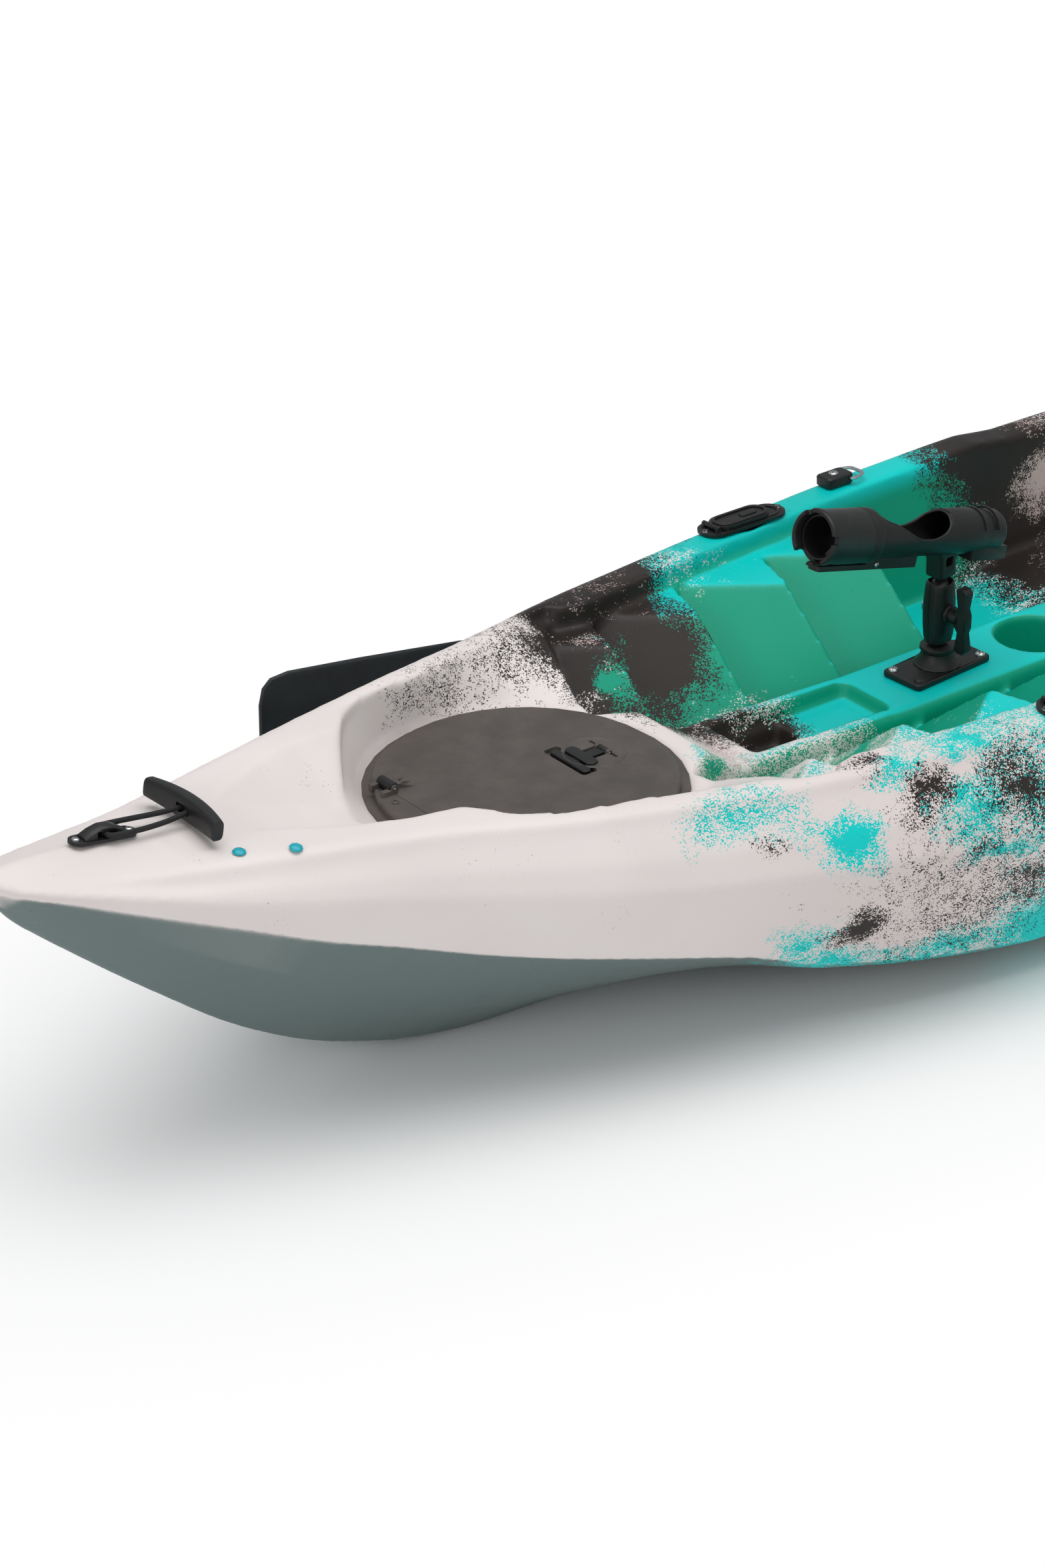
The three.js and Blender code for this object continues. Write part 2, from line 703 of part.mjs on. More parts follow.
function cockpitCut(grow) {
  const sides = cockpitSideShares.map((station) => [atStation(station), gunwaleHalf(station) - gunwaleWidth]);
  const half = [...footwellFrontShares.map(planRow), ...sides, ...cockpitBackShares.map(planRow)];
  const rim = hullDepth * along(gunwaleHeightShares, cockpitSideShares[2]);
  const braces = toothCrestShares.map((crest) => toothBody(crest, grow));
  const teeth = braces.reduce((all, tooth) => all.add(tooth));
  const seatRows = seatRiseShares.map(([station, height]) => [station, height, 1]);
  return wellBody(wholePlan(half), cockpitFloorHeight, rim, cockpitDraft, grow)
    .subtract(barBody(consoleShares, 0, consoleFlare, consoleRound, -grow))
    .subtract(barBody(seatRows, 0, 0, consoleRound, -grow))
    .subtract(teeth)
    .subtract(teeth.mirror([0, 1, 0]));
}

function consoleCuts(grow) {
  const top = hullDepth * consoleShares[8][1];
  const tray = wellBody(slabPlan(trayFrontShare, trayBackShare, trayHalf), trayFloorHeight, top, wellDraft, grow);
  const deep = wellBody(slabPlan(trayFrontShare, trayStepShare, trayDeepHalf), trayDeepFloorHeight, top,
    wellDraft, grow);
  const cup = wellBody(discPlan(atStation(cupStationShare), cupRadius, cupSides), cupFloorHeight, top,
    wellDraft, grow);
  return tray.add(deep).add(cup);
}

function tankCut(grow) {
  const rows = Array.from({ length: tankStations }, (_, i) => {
    const share = tankFrontShare + ((tankBackShare - tankFrontShare) * i) / (tankStations - 1);
    return [atStation(share), gunwaleHalf(share) - tankRimWidth];
  });
  const ends = [rows[0], rows[tankStations - 1]];
  const front = [[ends[0][0] + tankRimWidth / 2, 0], [ends[0][0] + tankRimWidth / 2, ends[0][1] * tankCornerShare]];
  const back = [[ends[1][0] - tankRimWidth / 2, ends[1][1] * tankCornerShare], [ends[1][0] - tankRimWidth / 2, 0]];
  return wellBody(wholePlan([...front, ...rows, ...back]), tankFloorHeight, hullDepth, tankDraft, grow);
}

function scupperCuts(grow) {
  const tubes = scupperShares.flatMap(([station, half]) => [1, -1].map((side) => {
    const tube = barrel(scupperRadius + grow, hullDepth * 2, scupperSides);
    return tube.translate([atStation(station), side * halfBeam * half, 0]);
  }));
  return tubes.reduce((all, tube) => all.add(tube));
}

const deckCuts = (grow) => valleyCut(grow)
  .add(hatchRecessCut(grow))
  .add(cockpitCut(grow))
  .add(consoleCuts(grow))
  .add(tankCut(grow))
  .add(scupperCuts(grow));

// The part of space under the crease, where the hull's lower piece meets the deck
function underCrease(gap) {
  const rows = hullStationShares.map((station) => [station, along(creaseHeightShares, station), 2]);
  const first = [-overrunShare, rows[0][1], 2];
  const last = [1 + overrunShare, rows[rows.length - 1][1], 2];
  return barBody([first, ...rows, last], -hullDepth, 0, edgeBreak, 0).translate([0, 0, gap - partingDrop]);
}

const between = (fore, aft) => solidOf(new THREE.BoxGeometry(hullLength * (aft - fore) - touchGap, hullBeam * 2,
  hullDepth * 6)).translate([atStation((fore + aft) / 2), 0, 0]);

// A table of shares, given its two sizes
const sized = (shares, first, second) => shares.map(([a, b]) => [a * first, b * second]);

// Simple solids, each centred on its own middle with its axis upright
const block = (x, y, z) => solidOf(new THREE.BoxGeometry(x, y, z));
const barrel = (radius, length, sides = roundSides) => solidOf(
  new THREE.CylinderGeometry(radius, radius, length, sides).rotateX(Math.PI / 2),
);

// A turned body about an upright axis. Rows are radius, height, and start and end on the axis.
function turned(profile, sides = roundSides) {
  const points = profile.map(([radius, height]) => new THREE.Vector2(radius, height));
  return solidOf(new THREE.LatheGeometry(points, sides).rotateX(Math.PI / 2));
}

// A turned ring. The profile is a closed loop of radius and height.
const ringOf = (profile, sides) => turned([...profile, profile[0]], sides);
const pipe = (radius, bore, length, sides) => barrel(radius, length, sides).subtract(barrel(bore, length * 2, sides));

// A flat shape, drawn seen from above, given a thickness upward from zero
function slab(shape, thickness, bevel) {
  const depth = thickness - bevel * 2;
  const settings = { depth, bevelEnabled: bevel > 0, bevelThickness: bevel, bevelSize: bevel, bevelOffset: -bevel,
    bevelSegments: 1, curveSegments: cornerSteps };
  return solidOf(new THREE.ExtrudeGeometry(shape, settings)).translate([0, 0, bevel]);
}

function roundedShape(length, width, radius) {
  const x = length / 2;
  const y = width / 2;
  const shape = new THREE.Shape();
  shape.moveTo(x, radius - y);
  shape.lineTo(x, y - radius);
  shape.absarc(x - radius, y - radius, radius, 0, Math.PI / 2);
  shape.lineTo(radius - x, y);
  shape.absarc(radius - x, y - radius, radius, Math.PI / 2, Math.PI);
  shape.lineTo(-x, radius - y);
  shape.absarc(radius - x, radius - y, radius, Math.PI, Math.PI * 1.5);
  shape.lineTo(x - radius, -y);
  shape.absarc(x - radius, radius - y, radius, Math.PI * 1.5, Math.PI * 2);
  return shape;
}

const shapeOf = (points) => new THREE.Shape(points.map(([x, y]) => new THREE.Vector2(x, y)));

// A closed wire that follows a flat loop of corners, each rounded by the corner size
function wireLoop(corners, corner, radius) {
  const path = corners.flatMap(([x, y], i) => {
    const here = new THREE.Vector2(x, y);
    const before = new THREE.Vector2(...corners[(i + corners.length - 1) % corners.length]).sub(here).setLength(corner);
    const after = new THREE.Vector2(...corners[(i + 1) % corners.length]).sub(here).setLength(corner);
    const bend = new THREE.QuadraticBezierCurve(before.add(here), here, after.add(here));
    return bend.getPoints(cornerSteps);
  });
  const rings = path.map((here, i) => {
    const before = path[(i + path.length - 1) % path.length];
    const after = path[(i + 1) % path.length];
    const along = after.clone().sub(before).normalize();
    return Array.from({ length: cordSides }, (_, side) => {
      const turn = (side / cordSides) * Math.PI * 2;
      const out = radius * Math.cos(turn);
      return new THREE.Vector3(here.x + along.y * out, here.y - along.x * out, radius * Math.sin(turn));
    });
  });
  const points = rings.flat();
  const faces = rings.flatMap((_, r) => Array.from({ length: cordSides }, (__, side) => {
    const ahead = ((r + 1) % rings.length) * cordSides;
    const next = (side + 1) % cordSides;
    const a = r * cordSides + side;
    const b = r * cordSides + next;
    return [[a, b, ahead + next], [a, ahead + next, ahead + side]];
  }).flat());
  return solidOf(closedGeometry(points, faces));
}

const alongX = (solid) => solid.rotate([0, quarterTurn, 0]);
const alongY = (solid) => solid.rotate([quarterTurn, 0, 0]);
const largest = (solid) => solid.decompose().reduce((best, body) => (body.volume() > best.volume() ? body : best));
const joined = (solids) => solids.reduce((all, solid) => all.add(solid));

// How far the surface stands out along a frame's own upright, over a grid of places
function samplesOn(surface, base, spanX, spanY) {
  const far = hullBeam * 2;
  const down = new THREE.Vector3(0, 0, -1).transformDirection(base);
  const steps = Array.from({ length: sampleSteps }, (_, i) => i / (sampleSteps - 1));
  return steps.flatMap((u) => steps.flatMap((v) => {
    const x = THREE.MathUtils.lerp(spanX[0], spanX[1], u);
    const y = THREE.MathUtils.lerp(spanY[0], spanY[1], v);
    const ray = new THREE.Raycaster(new THREE.Vector3(x, y, far).applyMatrix4(base), down);
    const hit = ray.intersectObject(surface)[0];
    return hit ? [{ u, v, x, y, height: far - hit.distance }] : [];
  }));
}

// Turns a frame to lie on the surface, just clear of it everywhere in its span
function layOn(surface, base, spanX, spanY) {
  const samples = samplesOn(surface, base, spanX, spanY);
  const highest = (key, end) => Math.max(...samples.filter((s) => s[key] === end).map((s) => s.height));
  const slopeX = (highest('u', 1) - highest('u', 0)) / (spanX[1] - spanX[0]);
  const slopeY = (highest('v', 1) - highest('v', 0)) / (spanY[1] - spanY[0]);
  const lift = Math.max(...samples.map((s) => s.height - slopeX * s.x - slopeY * s.y)) + touchGap;
  const across = new THREE.Vector3(1, 0, slopeX).normalize();
  const upright = across.clone().cross(new THREE.Vector3(0, 1, slopeY)).normalize();
  const tilt = new THREE.Matrix4().makeBasis(across, upright.clone().cross(across), upright);
  return base.clone().multiply(tilt.setPosition(0, 0, lift));
}

const placed = (solid, matrix) => solid.transform(matrix.elements);
const standing = (x, y, turn = 0) => new THREE.Matrix4().makeRotationZ(turn).setPosition(x, y, 0);
const even = (half) => [-half, half];

// A round bar between two points
function strut(from, to, radius) {
  const start = new THREE.Vector3(...from);
  const span = new THREE.Vector3(...to).sub(start);
  const turn = new THREE.Quaternion().setFromUnitVectors(new THREE.Vector3(0, 0, 1), span.clone().normalize());
  const matrix = new THREE.Matrix4().makeRotationFromQuaternion(turn).setPosition(start.addScaledVector(span, 1 / 2));
  return placed(barrel(radius, span.length(), smallSides), matrix);
}

const ball = (radius, around = roundSides) => solidOf(
  new THREE.SphereGeometry(radius, around, around / 2).rotateX(Math.PI / 2),
);

// Carry handles
function eyeSolid() {
  const foot = slab(roundedShape(eyeLength, eyeWidth, eyeWidth / 3), eyeBase, edgeBreak);
  const bridge = alongY(barrel(eyeBridgeRadius, eyeBridge, roundSides)).translate([0, 0, cordHeight]);
  return foot.add(bridge).trimByPlane([0, 0, 1], 0)
    .subtract(alongY(barrel(cordBore, eyeBridge * 2, smallSides)).translate([0, 0, cordHeight]));
}

function handleCord() {
  const corners = [[0, cordHalf], [0, -cordHalf], [cordReach, -cordHalf], [cordReach, cordHalf]];
  return wireLoop(corners, cordCorner, cordRadius).translate([0, 0, cordHeight]);
}

function gripSolid() {
  const half = gripLength / 2;
  const bar = turned([
    [0, -half], [gripRadius * gripWaistShare, -half], [gripRadius * gripEndShare, edgeRound - half],
    [gripRadius * gripWaistShare, 0], [gripRadius * gripEndShare, half - edgeRound],
    [gripRadius * gripWaistShare, half], [0, half],
  ], smallSides);
  const barHeight = gripRadius * gripEndShare + gripLift;
  const stemThick = eyeBridgeRadius * 2 - edgeBreak;
  const stem = slab(roundedShape(gripOffset + eyeBridgeRadius, eyeBridge, cordBore), stemThick, edgeBreak)
    .translate([cordReach + (gripOffset - eyeBridgeRadius) / 2, 0, gripLift]);
  return alongY(bar).translate([cordReach + gripOffset, 0, barHeight]).add(stem)
    .subtract(alongY(barrel(cordBore, eyeBridge * 2, smallSides)).translate([cordReach, 0, cordHeight]));
}

// Round hatch, about the middle of its hole
const hatchPlace = (solid) => solid.translate([atStation(hatchStationShare), 0, 0]);
const keepAhead = (solid, x) => solid.trimByPlane([1, 0, 0], x);
const keepBehind = (solid, x) => solid.trimByPlane([-1, 0, 0], -x);

// One hinge lug: a round eye with a web toward the side it is fixed to
function hingeLug(y, length, direction) {
  const web = block(webLength, length, hingeHeight - webLow)
    .translate([chordOffset + (direction * webLength) / 2, y, (hingeHeight + webLow) / 2]);
  const eye = alongY(barrel(knuckleRadius, length, roundSides)).translate([chordOffset, y, hingeHeight]);
  return web.add(eye);
}

const hingeBores = () => joined([1, -1].map((side) => alongY(barrel(pinBore, webLength * 3, smallSides))
  .translate([chordOffset, side * hingeHalfSpan, hingeHeight])));

function rimSolid() {
  const ring = ringOf([
    [rimBore, rimNeckLow], [rimBore + rimWall, rimNeckLow], [rimBore + rimWall, ledgeHeight + touchGap],
    [ledgeRadius - flangeClear, ledgeHeight + touchGap], [ledgeRadius - flangeClear, rimFlangeTop],
    [rimBore, rimFlangeTop],
  ], hatchSides);
  const groove = ringOf([
    [gasketInner - grooveClear, rimFlangeTop], [gasketOuter + grooveClear, rimFlangeTop],
    [gasketOuter + grooveClear, gasketTop + grooveClear], [gasketInner - grooveClear, gasketTop + grooveClear],
  ], hatchSides);
  const disc = turned([
    [0, segmentLow], [hatchRadius, segmentLow], [hatchRadius, lidTop - lidEdge], [hatchRadius - lidEdge, lidTop],
    [0, lidTop],
  ], hatchSides);
  const earY = (knuckleLength + earLength) / 2 + knuckleGap;
  const ears = [1, -1].flatMap((side) => [1, -1].map((end) => hingeLug(side * hingeHalfSpan + end * earY,
    earLength, 1)));
  return hatchPlace(keepAhead(disc, chordOffset).subtract(groove).add(ring).add(joined(ears))
    .subtract(hingeBores()));
}

function gasketSolid() {
  const middle = (gasketInner + gasketOuter) / 2;
  return hatchPlace(ringOf([
    [gasketInner, gasketLow], [gasketOuter, gasketLow], [gasketOuter, gasketTop - gasketCrown],
    [middle, gasketTop], [gasketInner, gasketTop - gasketCrown],
  ], hatchSides));
}

function lidSolid() {
  const disc = turned([
    [0, lidUnder], [lidLocatorRadius - lidLocatorWidth, lidUnder],
    [lidLocatorRadius - lidLocatorWidth, lidLocatorLow], [lidLocatorRadius, lidLocatorLow],
    [lidLocatorRadius, lidUnder], [hatchRadius - lidRimWidth, lidUnder], [hatchRadius - lidRimWidth, lidRimLow],
    [hatchRadius, lidRimLow], [hatchRadius, lidTop - lidEdge], [hatchRadius - lidEdge, lidTop], [0, lidTop],
  ], hatchSides);
  const lugs = [1, -1].map((side) => hingeLug(side * hingeHalfSpan, knuckleLength, -1));
  const barX = latchStemLength - latchPivotOffset;
  const depth = lidTop - latchPocketFloor;
  const stemLength = latchStemLength + latchPocketClear * 2;
  const stemWell = slab(roundedShape(stemLength, (latchStemHalf + latchPocketClear) * 2, latchPocketClear), depth * 2, 0)
    .translate([barX - latchStemLength / 2, 0, latchPocketFloor]);
  const barWell = slab(roundedShape((latchBarRadius + latchPocketClear) * 2,
    (latchBarHalf + latchPocketClear) * 2, latchPocketClear), depth * 2, 0).translate([barX, 0, latchPocketFloor]);
  const pinLugs = [1, -1].map((side) => {
    const y = side * (latchStemHalf + latchLift + latchLugWidth / 2);
    const foot = block(latchEyeRadius * 2, latchLugWidth, latchPinHeight - lidUnder)
      .translate([-latchPivotOffset, y, (latchPinHeight + lidUnder) / 2]);
    const eye = alongY(barrel(latchEyeRadius, latchLugWidth, smallSides));
    return foot.add(eye.translate([-latchPivotOffset, y, latchPinHeight]));
  });
  const pinHole = alongY(barrel(pinBore, latchPinLength * 2, smallSides))
    .translate([-latchPivotOffset, 0, latchPinHeight]);
  return hatchPlace(keepBehind(disc, chordOffset - chordGap).subtract(stemWell).subtract(barWell)
    .add(joined(lugs)).add(joined(pinLugs)).subtract(hingeBores()).subtract(pinHole));
}

function latchSolid() {
  const barX = latchStemLength - latchPivotOffset;
  const stem = block(latchStemLength, latchStemHalf * 2, latchThickness)
    .translate([barX - latchStemLength / 2, 0, latchPocketFloor + latchLift + latchThickness / 2]);
  const bar = slab(roundedShape(latchBarRadius * 2, latchBarHalf * 2, latchPocketClear), latchBarHeight, edgeBreak)
    .translate([barX, 0, latchPocketFloor + latchLift]);
  const eye = alongY(barrel(latchEyeRadius, latchStemHalf * 2, smallSides))
    .translate([-latchPivotOffset, 0, latchPinHeight]);
  const hole = alongY(barrel(pinBore, latchPinLength, smallSides))
    .translate([-latchPivotOffset, 0, latchPinHeight]);
  return hatchPlace(stem.add(bar).add(eye).subtract(hole));
}

// Adjustable rod holder, about its base plate's middle
const plateCorners = [[1, 1], [-1, -1], [1, -1], [-1, 1]].map(([x, y]) => [x * plateScrewX, y * plateScrewY]);
const clampMiddle = plateThick + ballHeight + ballSpread / 2;

const countersink = [
  [0, 0], [plateScrewHole, 0], [countersinkRadius, countersinkRise], [countersinkRadius, plateThick],
  [0, plateThick],
];

function basePlateSolid() {
  const plate = slab(roundedShape(plateLength, plateWidth, plateCorner), plateThick, plateBevel);
  const holes = plateCorners.map(([x, y]) => barrel(plateScrewHole, plateThick * 3, smallSides)
    .add(turned(countersink, smallSides).translate([0, 0, plateThick - countersinkDepth]))
    .translate([x, y, 0]));
  return plate.subtract(joined(holes))
    .add(turned(sized(coneShares, coneRadius, coneHeight)).translate([0, 0, plateThick - edgeBreak]))
    .add(ball(ballRadius).translate([0, 0, plateThick + ballHeight]));
}

function baseScrewSolid() {
  const shank = plateScrewHole - baseScrewClear;
  const head = countersinkRadius - baseScrewClear;
  const top = countersinkRise + baseScrewDome;
  return turned([
    [0, -baseScrewShank], [shank, -baseScrewShank], [shank, 0], [head, countersinkRise],
    [head, countersinkRise + baseScrewEdge], [shank, top], [0, top],
  ], smallSides);
}

function clampSolid() {
  const shape = roundedShape(clampHalfWidth * 2, clampHalfHeight * 2, clampCorner);
  const half = slab(shape, clampDepth, clampCorner / 2).rotate([-quarterTurn, 0, 0]);
  const mouth = turned([[0, 0], [mouthRadius, mouthHeight], [0, mouthHeight]]);
  const socket = ball(socketRadius).add(mouth);
  const upper = socket.translate([0, -touchGap, ballSpread / 2]);
  return half.subtract(upper).subtract(upper.mirror([0, 0, 1]))
    .subtract(alongY(barrel(boltBore, hullBeam, smallSides)))
    .translate([0, touchGap, 0]);
}

function boltSolid() {
  const head = -clampDepth - touchGap * 2;
  const from = head - boltHeadLength / 2;
  const shank = alongY(barrel(boltRadius, clampDepth + boltTail - from, smallSides))
    .translate([0, (clampDepth + boltTail + from) / 2, 0]);
  return shank.add(alongY(barrel(boltHeadRadius, boltHeadLength, hexSides)).translate([0, head - boltHeadLength / 2, 0]));
}

function knobSolid() {
  const face = clampDepth + touchGap * 2;
  const flange = alongY(barrel(knobFlangeRadius, knobFlange)).translate([0, face + knobFlange / 2, 0]);
  const hub = alongY(barrel(knobHubRadius, knobHubLength)).translate([0, face + knobFlange + knobHubLength / 2, 0]);
  const upper = sized(knobWingShares, knobReach, knobHalf).map(([y, z]) => [y + clampDepth, z]);
  const lower = upper.slice(1, -1).map(([y, z]) => [y, -z]).reverse();
  const turn = new THREE.Matrix4().makeBasis(new THREE.Vector3(0, 1, 0), new THREE.Vector3(0, 0, 1),
    new THREE.Vector3(1, 0, 0));
  const wing = placed(slab(shapeOf([...upper, ...lower].reverse()), knobWingThick, edgeBreak)
    .translate([0, 0, -knobWingThick / 2]), turn);
  const bore = alongY(barrel(boltBore, boltTail + knobFlange, smallSides))
    .translate([0, clampDepth + (boltTail - knobFlange) / 2, 0]);
  return flange.add(hub).add(wing).subtract(bore);
}

const tubeMatrix = new THREE.Matrix4().makeRotationY(THREE.MathUtils.degToRad(-tubePitch))
  .setPosition(0, 0, plateThick + ballHeight + ballSpread + tubeLift);

function tubeSolid() {
  const top = plateThick + ballHeight + ballSpread;
  const neck = barrel(neckRadius, neckBlockLift * 2, roundSides).translate([0, 0, top + neckBlockLift]);
  const post = block(neckBlockLength, neckBlockWidth, neckBlockHeight)
    .subtract(block(neckWindow, neckBlockWidth * 2, neckWindow))
    .translate([0, 0, top + neckBlockLift + neckBlockHeight / 2]);
  const lug = slab(roundedShape(lugLength, lugWidth, clampCorner), lugHeight, edgeBreak)
    .translate([tubeRear + lugLength / 3, 0, -lugDrop - lugHeight / 2]);
  const boreLength = tubeFore * 2 - tubeFloor;
  const bore = alongX(barrel(tubeBore, boreLength, tubeSides)).translate([tubeFloor + boreLength / 2, 0, 0]);
  const saddle = slab(shapeOf(sized(saddleShares, saddleLength, tubeRadius)), tubeRadius * 4, 0)
    .rotate([quarterTurn, 0, 0]).translate([saddleRear, tubeRadius * 2, 0]);
  const skin = sized(tubeSkinShares, tubeRadius, tubeFore - tubeRear).map(([radius, x]) => [radius, x + tubeRear]);
  const profile = [...skin, [tubeBore, tubeFore], [tubeBore, tubeFloor], [0, tubeFloor]];
  const tube = alongX(turned(profile, tubeSides)).add(lug);
  return placed(tube, tubeMatrix).add(post).subtract(placed(bore.add(saddle), tubeMatrix)).add(neck)
    .add(ball(ballRadius).translate([0, 0, top]));
}

function collarSolid() {
  const length = collarTo - collarFrom;
  const ring = ringOf([
    [collarBore, 0], [collarRadius - lidEdge, 0], [collarRadius, lidEdge], [collarRadius, length - lidEdge],
    [collarRadius - lidEdge, length], [collarBore, length],
  ], tubeSides);
  const notch = block(collarRadius, collarNotchWidth, collarNotchDepth * 2)
    .translate([collarRadius, 0, length]).rotate([0, 0, collarNotchTurn]);
  return placed(alongX(ring.subtract(notch)).translate([collarFrom, 0, 0]), tubeMatrix);
}

// Flush rod holder in its own frame, with the bow ahead
const flushLine = (solid, middle) => solid.translate([0, 0, middle])
  .rotate([0, quarterTurn + flushPitch, 0]).translate([-flushBoreOffset, 0, 0]);

function flushTubeSolid() {
  const lead = flangeWidth;
  const length = flushDepth + lead;
  const tube = flushLine(barrel(flushTubeRadius, length), (flushDepth - lead) / 2)
    .trimByPlane([0, 0, -1], -flangeThick / 2);
  const bore = flushLine(barrel(flushBore, length), (flushDepth - lead) / 2 - flangeThick);
  const flange = slab(roundedShape(flangeLength, flangeWidth, flangeWidth / 2 - edgeBreak), flangeThick, 0);
  const ears = [1, -1].map((side) => {
    const y = side * ((capKnuckleLength + capEarWidth) / 2 + latchLift);
    const foot = block(capKnuckleRadius * 2, capEarWidth, capHingeHeight - edgeBreak)
      .translate([capHingeX, y, (capHingeHeight + edgeBreak) / 2]);
    return foot.add(alongY(barrel(capKnuckleRadius, capEarWidth, smallSides))
      .translate([capHingeX, y, capHingeHeight]));
  });
  const pinHole = alongY(barrel(capPinBore, flangeWidth, smallSides)).translate([capHingeX, 0, capHingeHeight]);
  const heads = [-1, 1].map((end) => barrel(flangeScrewHead, screwHeadHeight * 2, smallSides)
    .translate([end * flangeScrewX, 0, flangeThick]));
  return flange.add(tube).add(joined(ears)).add(joined(heads)).subtract(bore).subtract(pinHole);
}

const flushHole = () => flushLine(barrel(flushTubeClear, flushDepth + flangeWidth * 2), flushDepth / 2);

function flushCapSolid() {
  const lid = slab(roundedShape(capLength, capWidth, capWidth / 2 - edgeBreak), capThick, 0)
    .translate([capHingeX - lidEdge - capLength / 2, 0, capLift]);
  const knuckle = alongY(barrel(capKnuckleRadius, capKnuckleLength, smallSides));
  const pins = alongY(barrel(capPinRadius, capKnuckleLength + (capEarWidth + latchLift) * 2, smallSides));
  return lid.add(knuckle.add(pins).translate([capHingeX, 0, capHingeHeight]));
}

// Eyelet with its ring lying aft
function eyeletSolid() {
  return slab(roundedShape(eyeletLength, eyeletWidth, eyeletCorner), eyeletHeight, edgeBreak * 2)
    .subtract(alongY(barrel(ringBore, eyeletWidth * 2, smallSides)).translate([-ringBoreX, 0, ringHeight]));
}

function ringSolid() {
  const back = -ringBoreX - ringReach;
  const corners = [[-ringBoreX, ringHalf], [back, ringBackHalf], [back, -ringBackHalf], [-ringBoreX, -ringHalf]];
  return wireLoop(corners, ringCorner, ringWire).translate([0, 0, ringHeight]);
}

const screwSolid = () => turned([
  [0, -blankShankLength], [blankShank, -blankShankLength], [blankShank, touchGap], [blankHead, touchGap],
  [blankHead, blankHeadEdge], [blankDome, blankHeadHeight], [0, blankHeadHeight],
], smallSides);

// Side carry handle, its frame standing out from the hull's side
function sideMountSolid() {
  const plate = slab(roundedShape(sidePlateLength, sidePlateWidth, sidePlateWidth / 3), sidePlateThick, edgeBreak);
  const ears = [1, -1].map((end) => block(sideEarLength, sideEarHeight, sideAxisHeight + sideWire * 2)
    .translate([end * sideEarX, 0, sideAxisHeight / 2 + sideWire]));
  return plate.add(joined(ears))
    .subtract(alongX(barrel(sideWireBore, sidePlateLength * 2, smallSides)).translate([0, 0, sideAxisHeight]));
}

function sideGripSolid() {
  const top = (end) => [end * sideArmX, 0, sideAxisHeight];
  const low = (end) => [end * sideArmX, -sideDrop, sideStand];
  const stub = (end) => [end * (sideEarX + sideEarLength), 0, sideAxisHeight];
  const arms = [1, -1].flatMap((end) => [
    strut(top(end), low(end), sideWire), strut(top(end), stub(end), sideWire),
    ball(sideWire, smallSides).translate(top(end)), ball(sideWire, smallSides).translate(low(end)),
  ]);
  const grip = alongX(barrel(sideGripRadius, sideGripLength, smallSides)).translate([0, -sideDrop, sideStand]);
  return joined([...arms, strut(low(-1), low(1), sideWire), grip]);
}

function drainSolid() {
  const stem = drainHole - drainClear;
  const plug = turned([
    [0, -drainDepth], [stem - edgeBreak, -drainDepth], [stem, edgeBreak * 2 - drainDepth], [stem, touchGap],
    [drainHead, touchGap], [drainHead, drainHeadEdge], [drainDome, drainHeadHeight], [0, drainHeadHeight],
  ]);
  return plug.add(block(drainGripLength, drainGripWidth, drainGripHeight).translate([0, 0, drainGripHeight]));
}

// Paddle pieces, drawn from a blade's tip inward along X
const bladeRoot = bladeLength;
const shaftSpan = paddleLength - bladeLength * 2;
function bladeSolid() {
  const upper = bladeShares.map(([share, half]) => [share * bladeLength, half * bladeHalf]);
  const lower = upper.map(([x, y]) => [x, -y]).reverse();
  const leaf = slab(shapeOf([...lower, ...upper].reverse()), bladeThick, bladeBevel)
    .translate([0, 0, -bladeThick / 2]).rotate([quarterTurn, 0, 0]);
  const spine = solidOf(new THREE.CylinderGeometry(shaftRadius, spineRadius / 2, spineLength, smallSides)
    .rotateZ(-Math.PI / 2)).translate([bladeRoot - spineLength / 2, 0, 0]);
  const sleeve = alongX(barrel(sleeveRadius, sleeveLength)).translate([bladeRoot + sleeveLength / 2 - edgeRound, 0, 0]);
  const boreFrom = bladeRoot - edgeRound + sleeveLength - sleeveDepth;
  const bore = alongX(barrel(sleeveBore, sleeveDepth * 2)).translate([boreFrom + sleeveDepth, 0, 0]);
  return leaf.add(spine).add(sleeve).subtract(bore);
}

const shaftFrom = bladeRoot - edgeRound + sleeveLength - sleeveDepth + edgeBreak;
const shaftMiddle = paddleLength / 2;
const tubeBetween = (solid, from, to) => alongX(solid).translate([(from + to) / 2, 0, 0]);

function shaftForeSolid() {
  const outside = tubeBetween(pipe(shaftRadius, shaftBore, shaftMiddle - shaftFrom), shaftFrom, shaftMiddle);
  const bondStart = shaftMiddle - bondLength;
  const bond = tubeBetween(pipe(shaftRadius - touchGap, spigotBore, bondLength), bondStart, shaftMiddle);
  const end = shaftMiddle + spigotLength;
  const spigot = tubeBetween(pipe(spigotRadius, spigotBore, end - bondStart), bondStart, end);
  return outside.add(bond).add(spigot);
}

function shaftAftSolid() {
  const from = shaftMiddle + touchGap;
  const to = paddleLength - shaftFrom;
  return tubeBetween(pipe(shaftRadius, shaftBore, to - from), from, to);
}

const dripSolid = () => alongX(ringOf([
  [sleeveBore, -dripWidth / 2], [sleeveRadius, -dripWidth / 2], [dripRadius, 0], [sleeveRadius, dripWidth / 2],
  [sleeveBore, dripWidth / 2],
], roundSides));

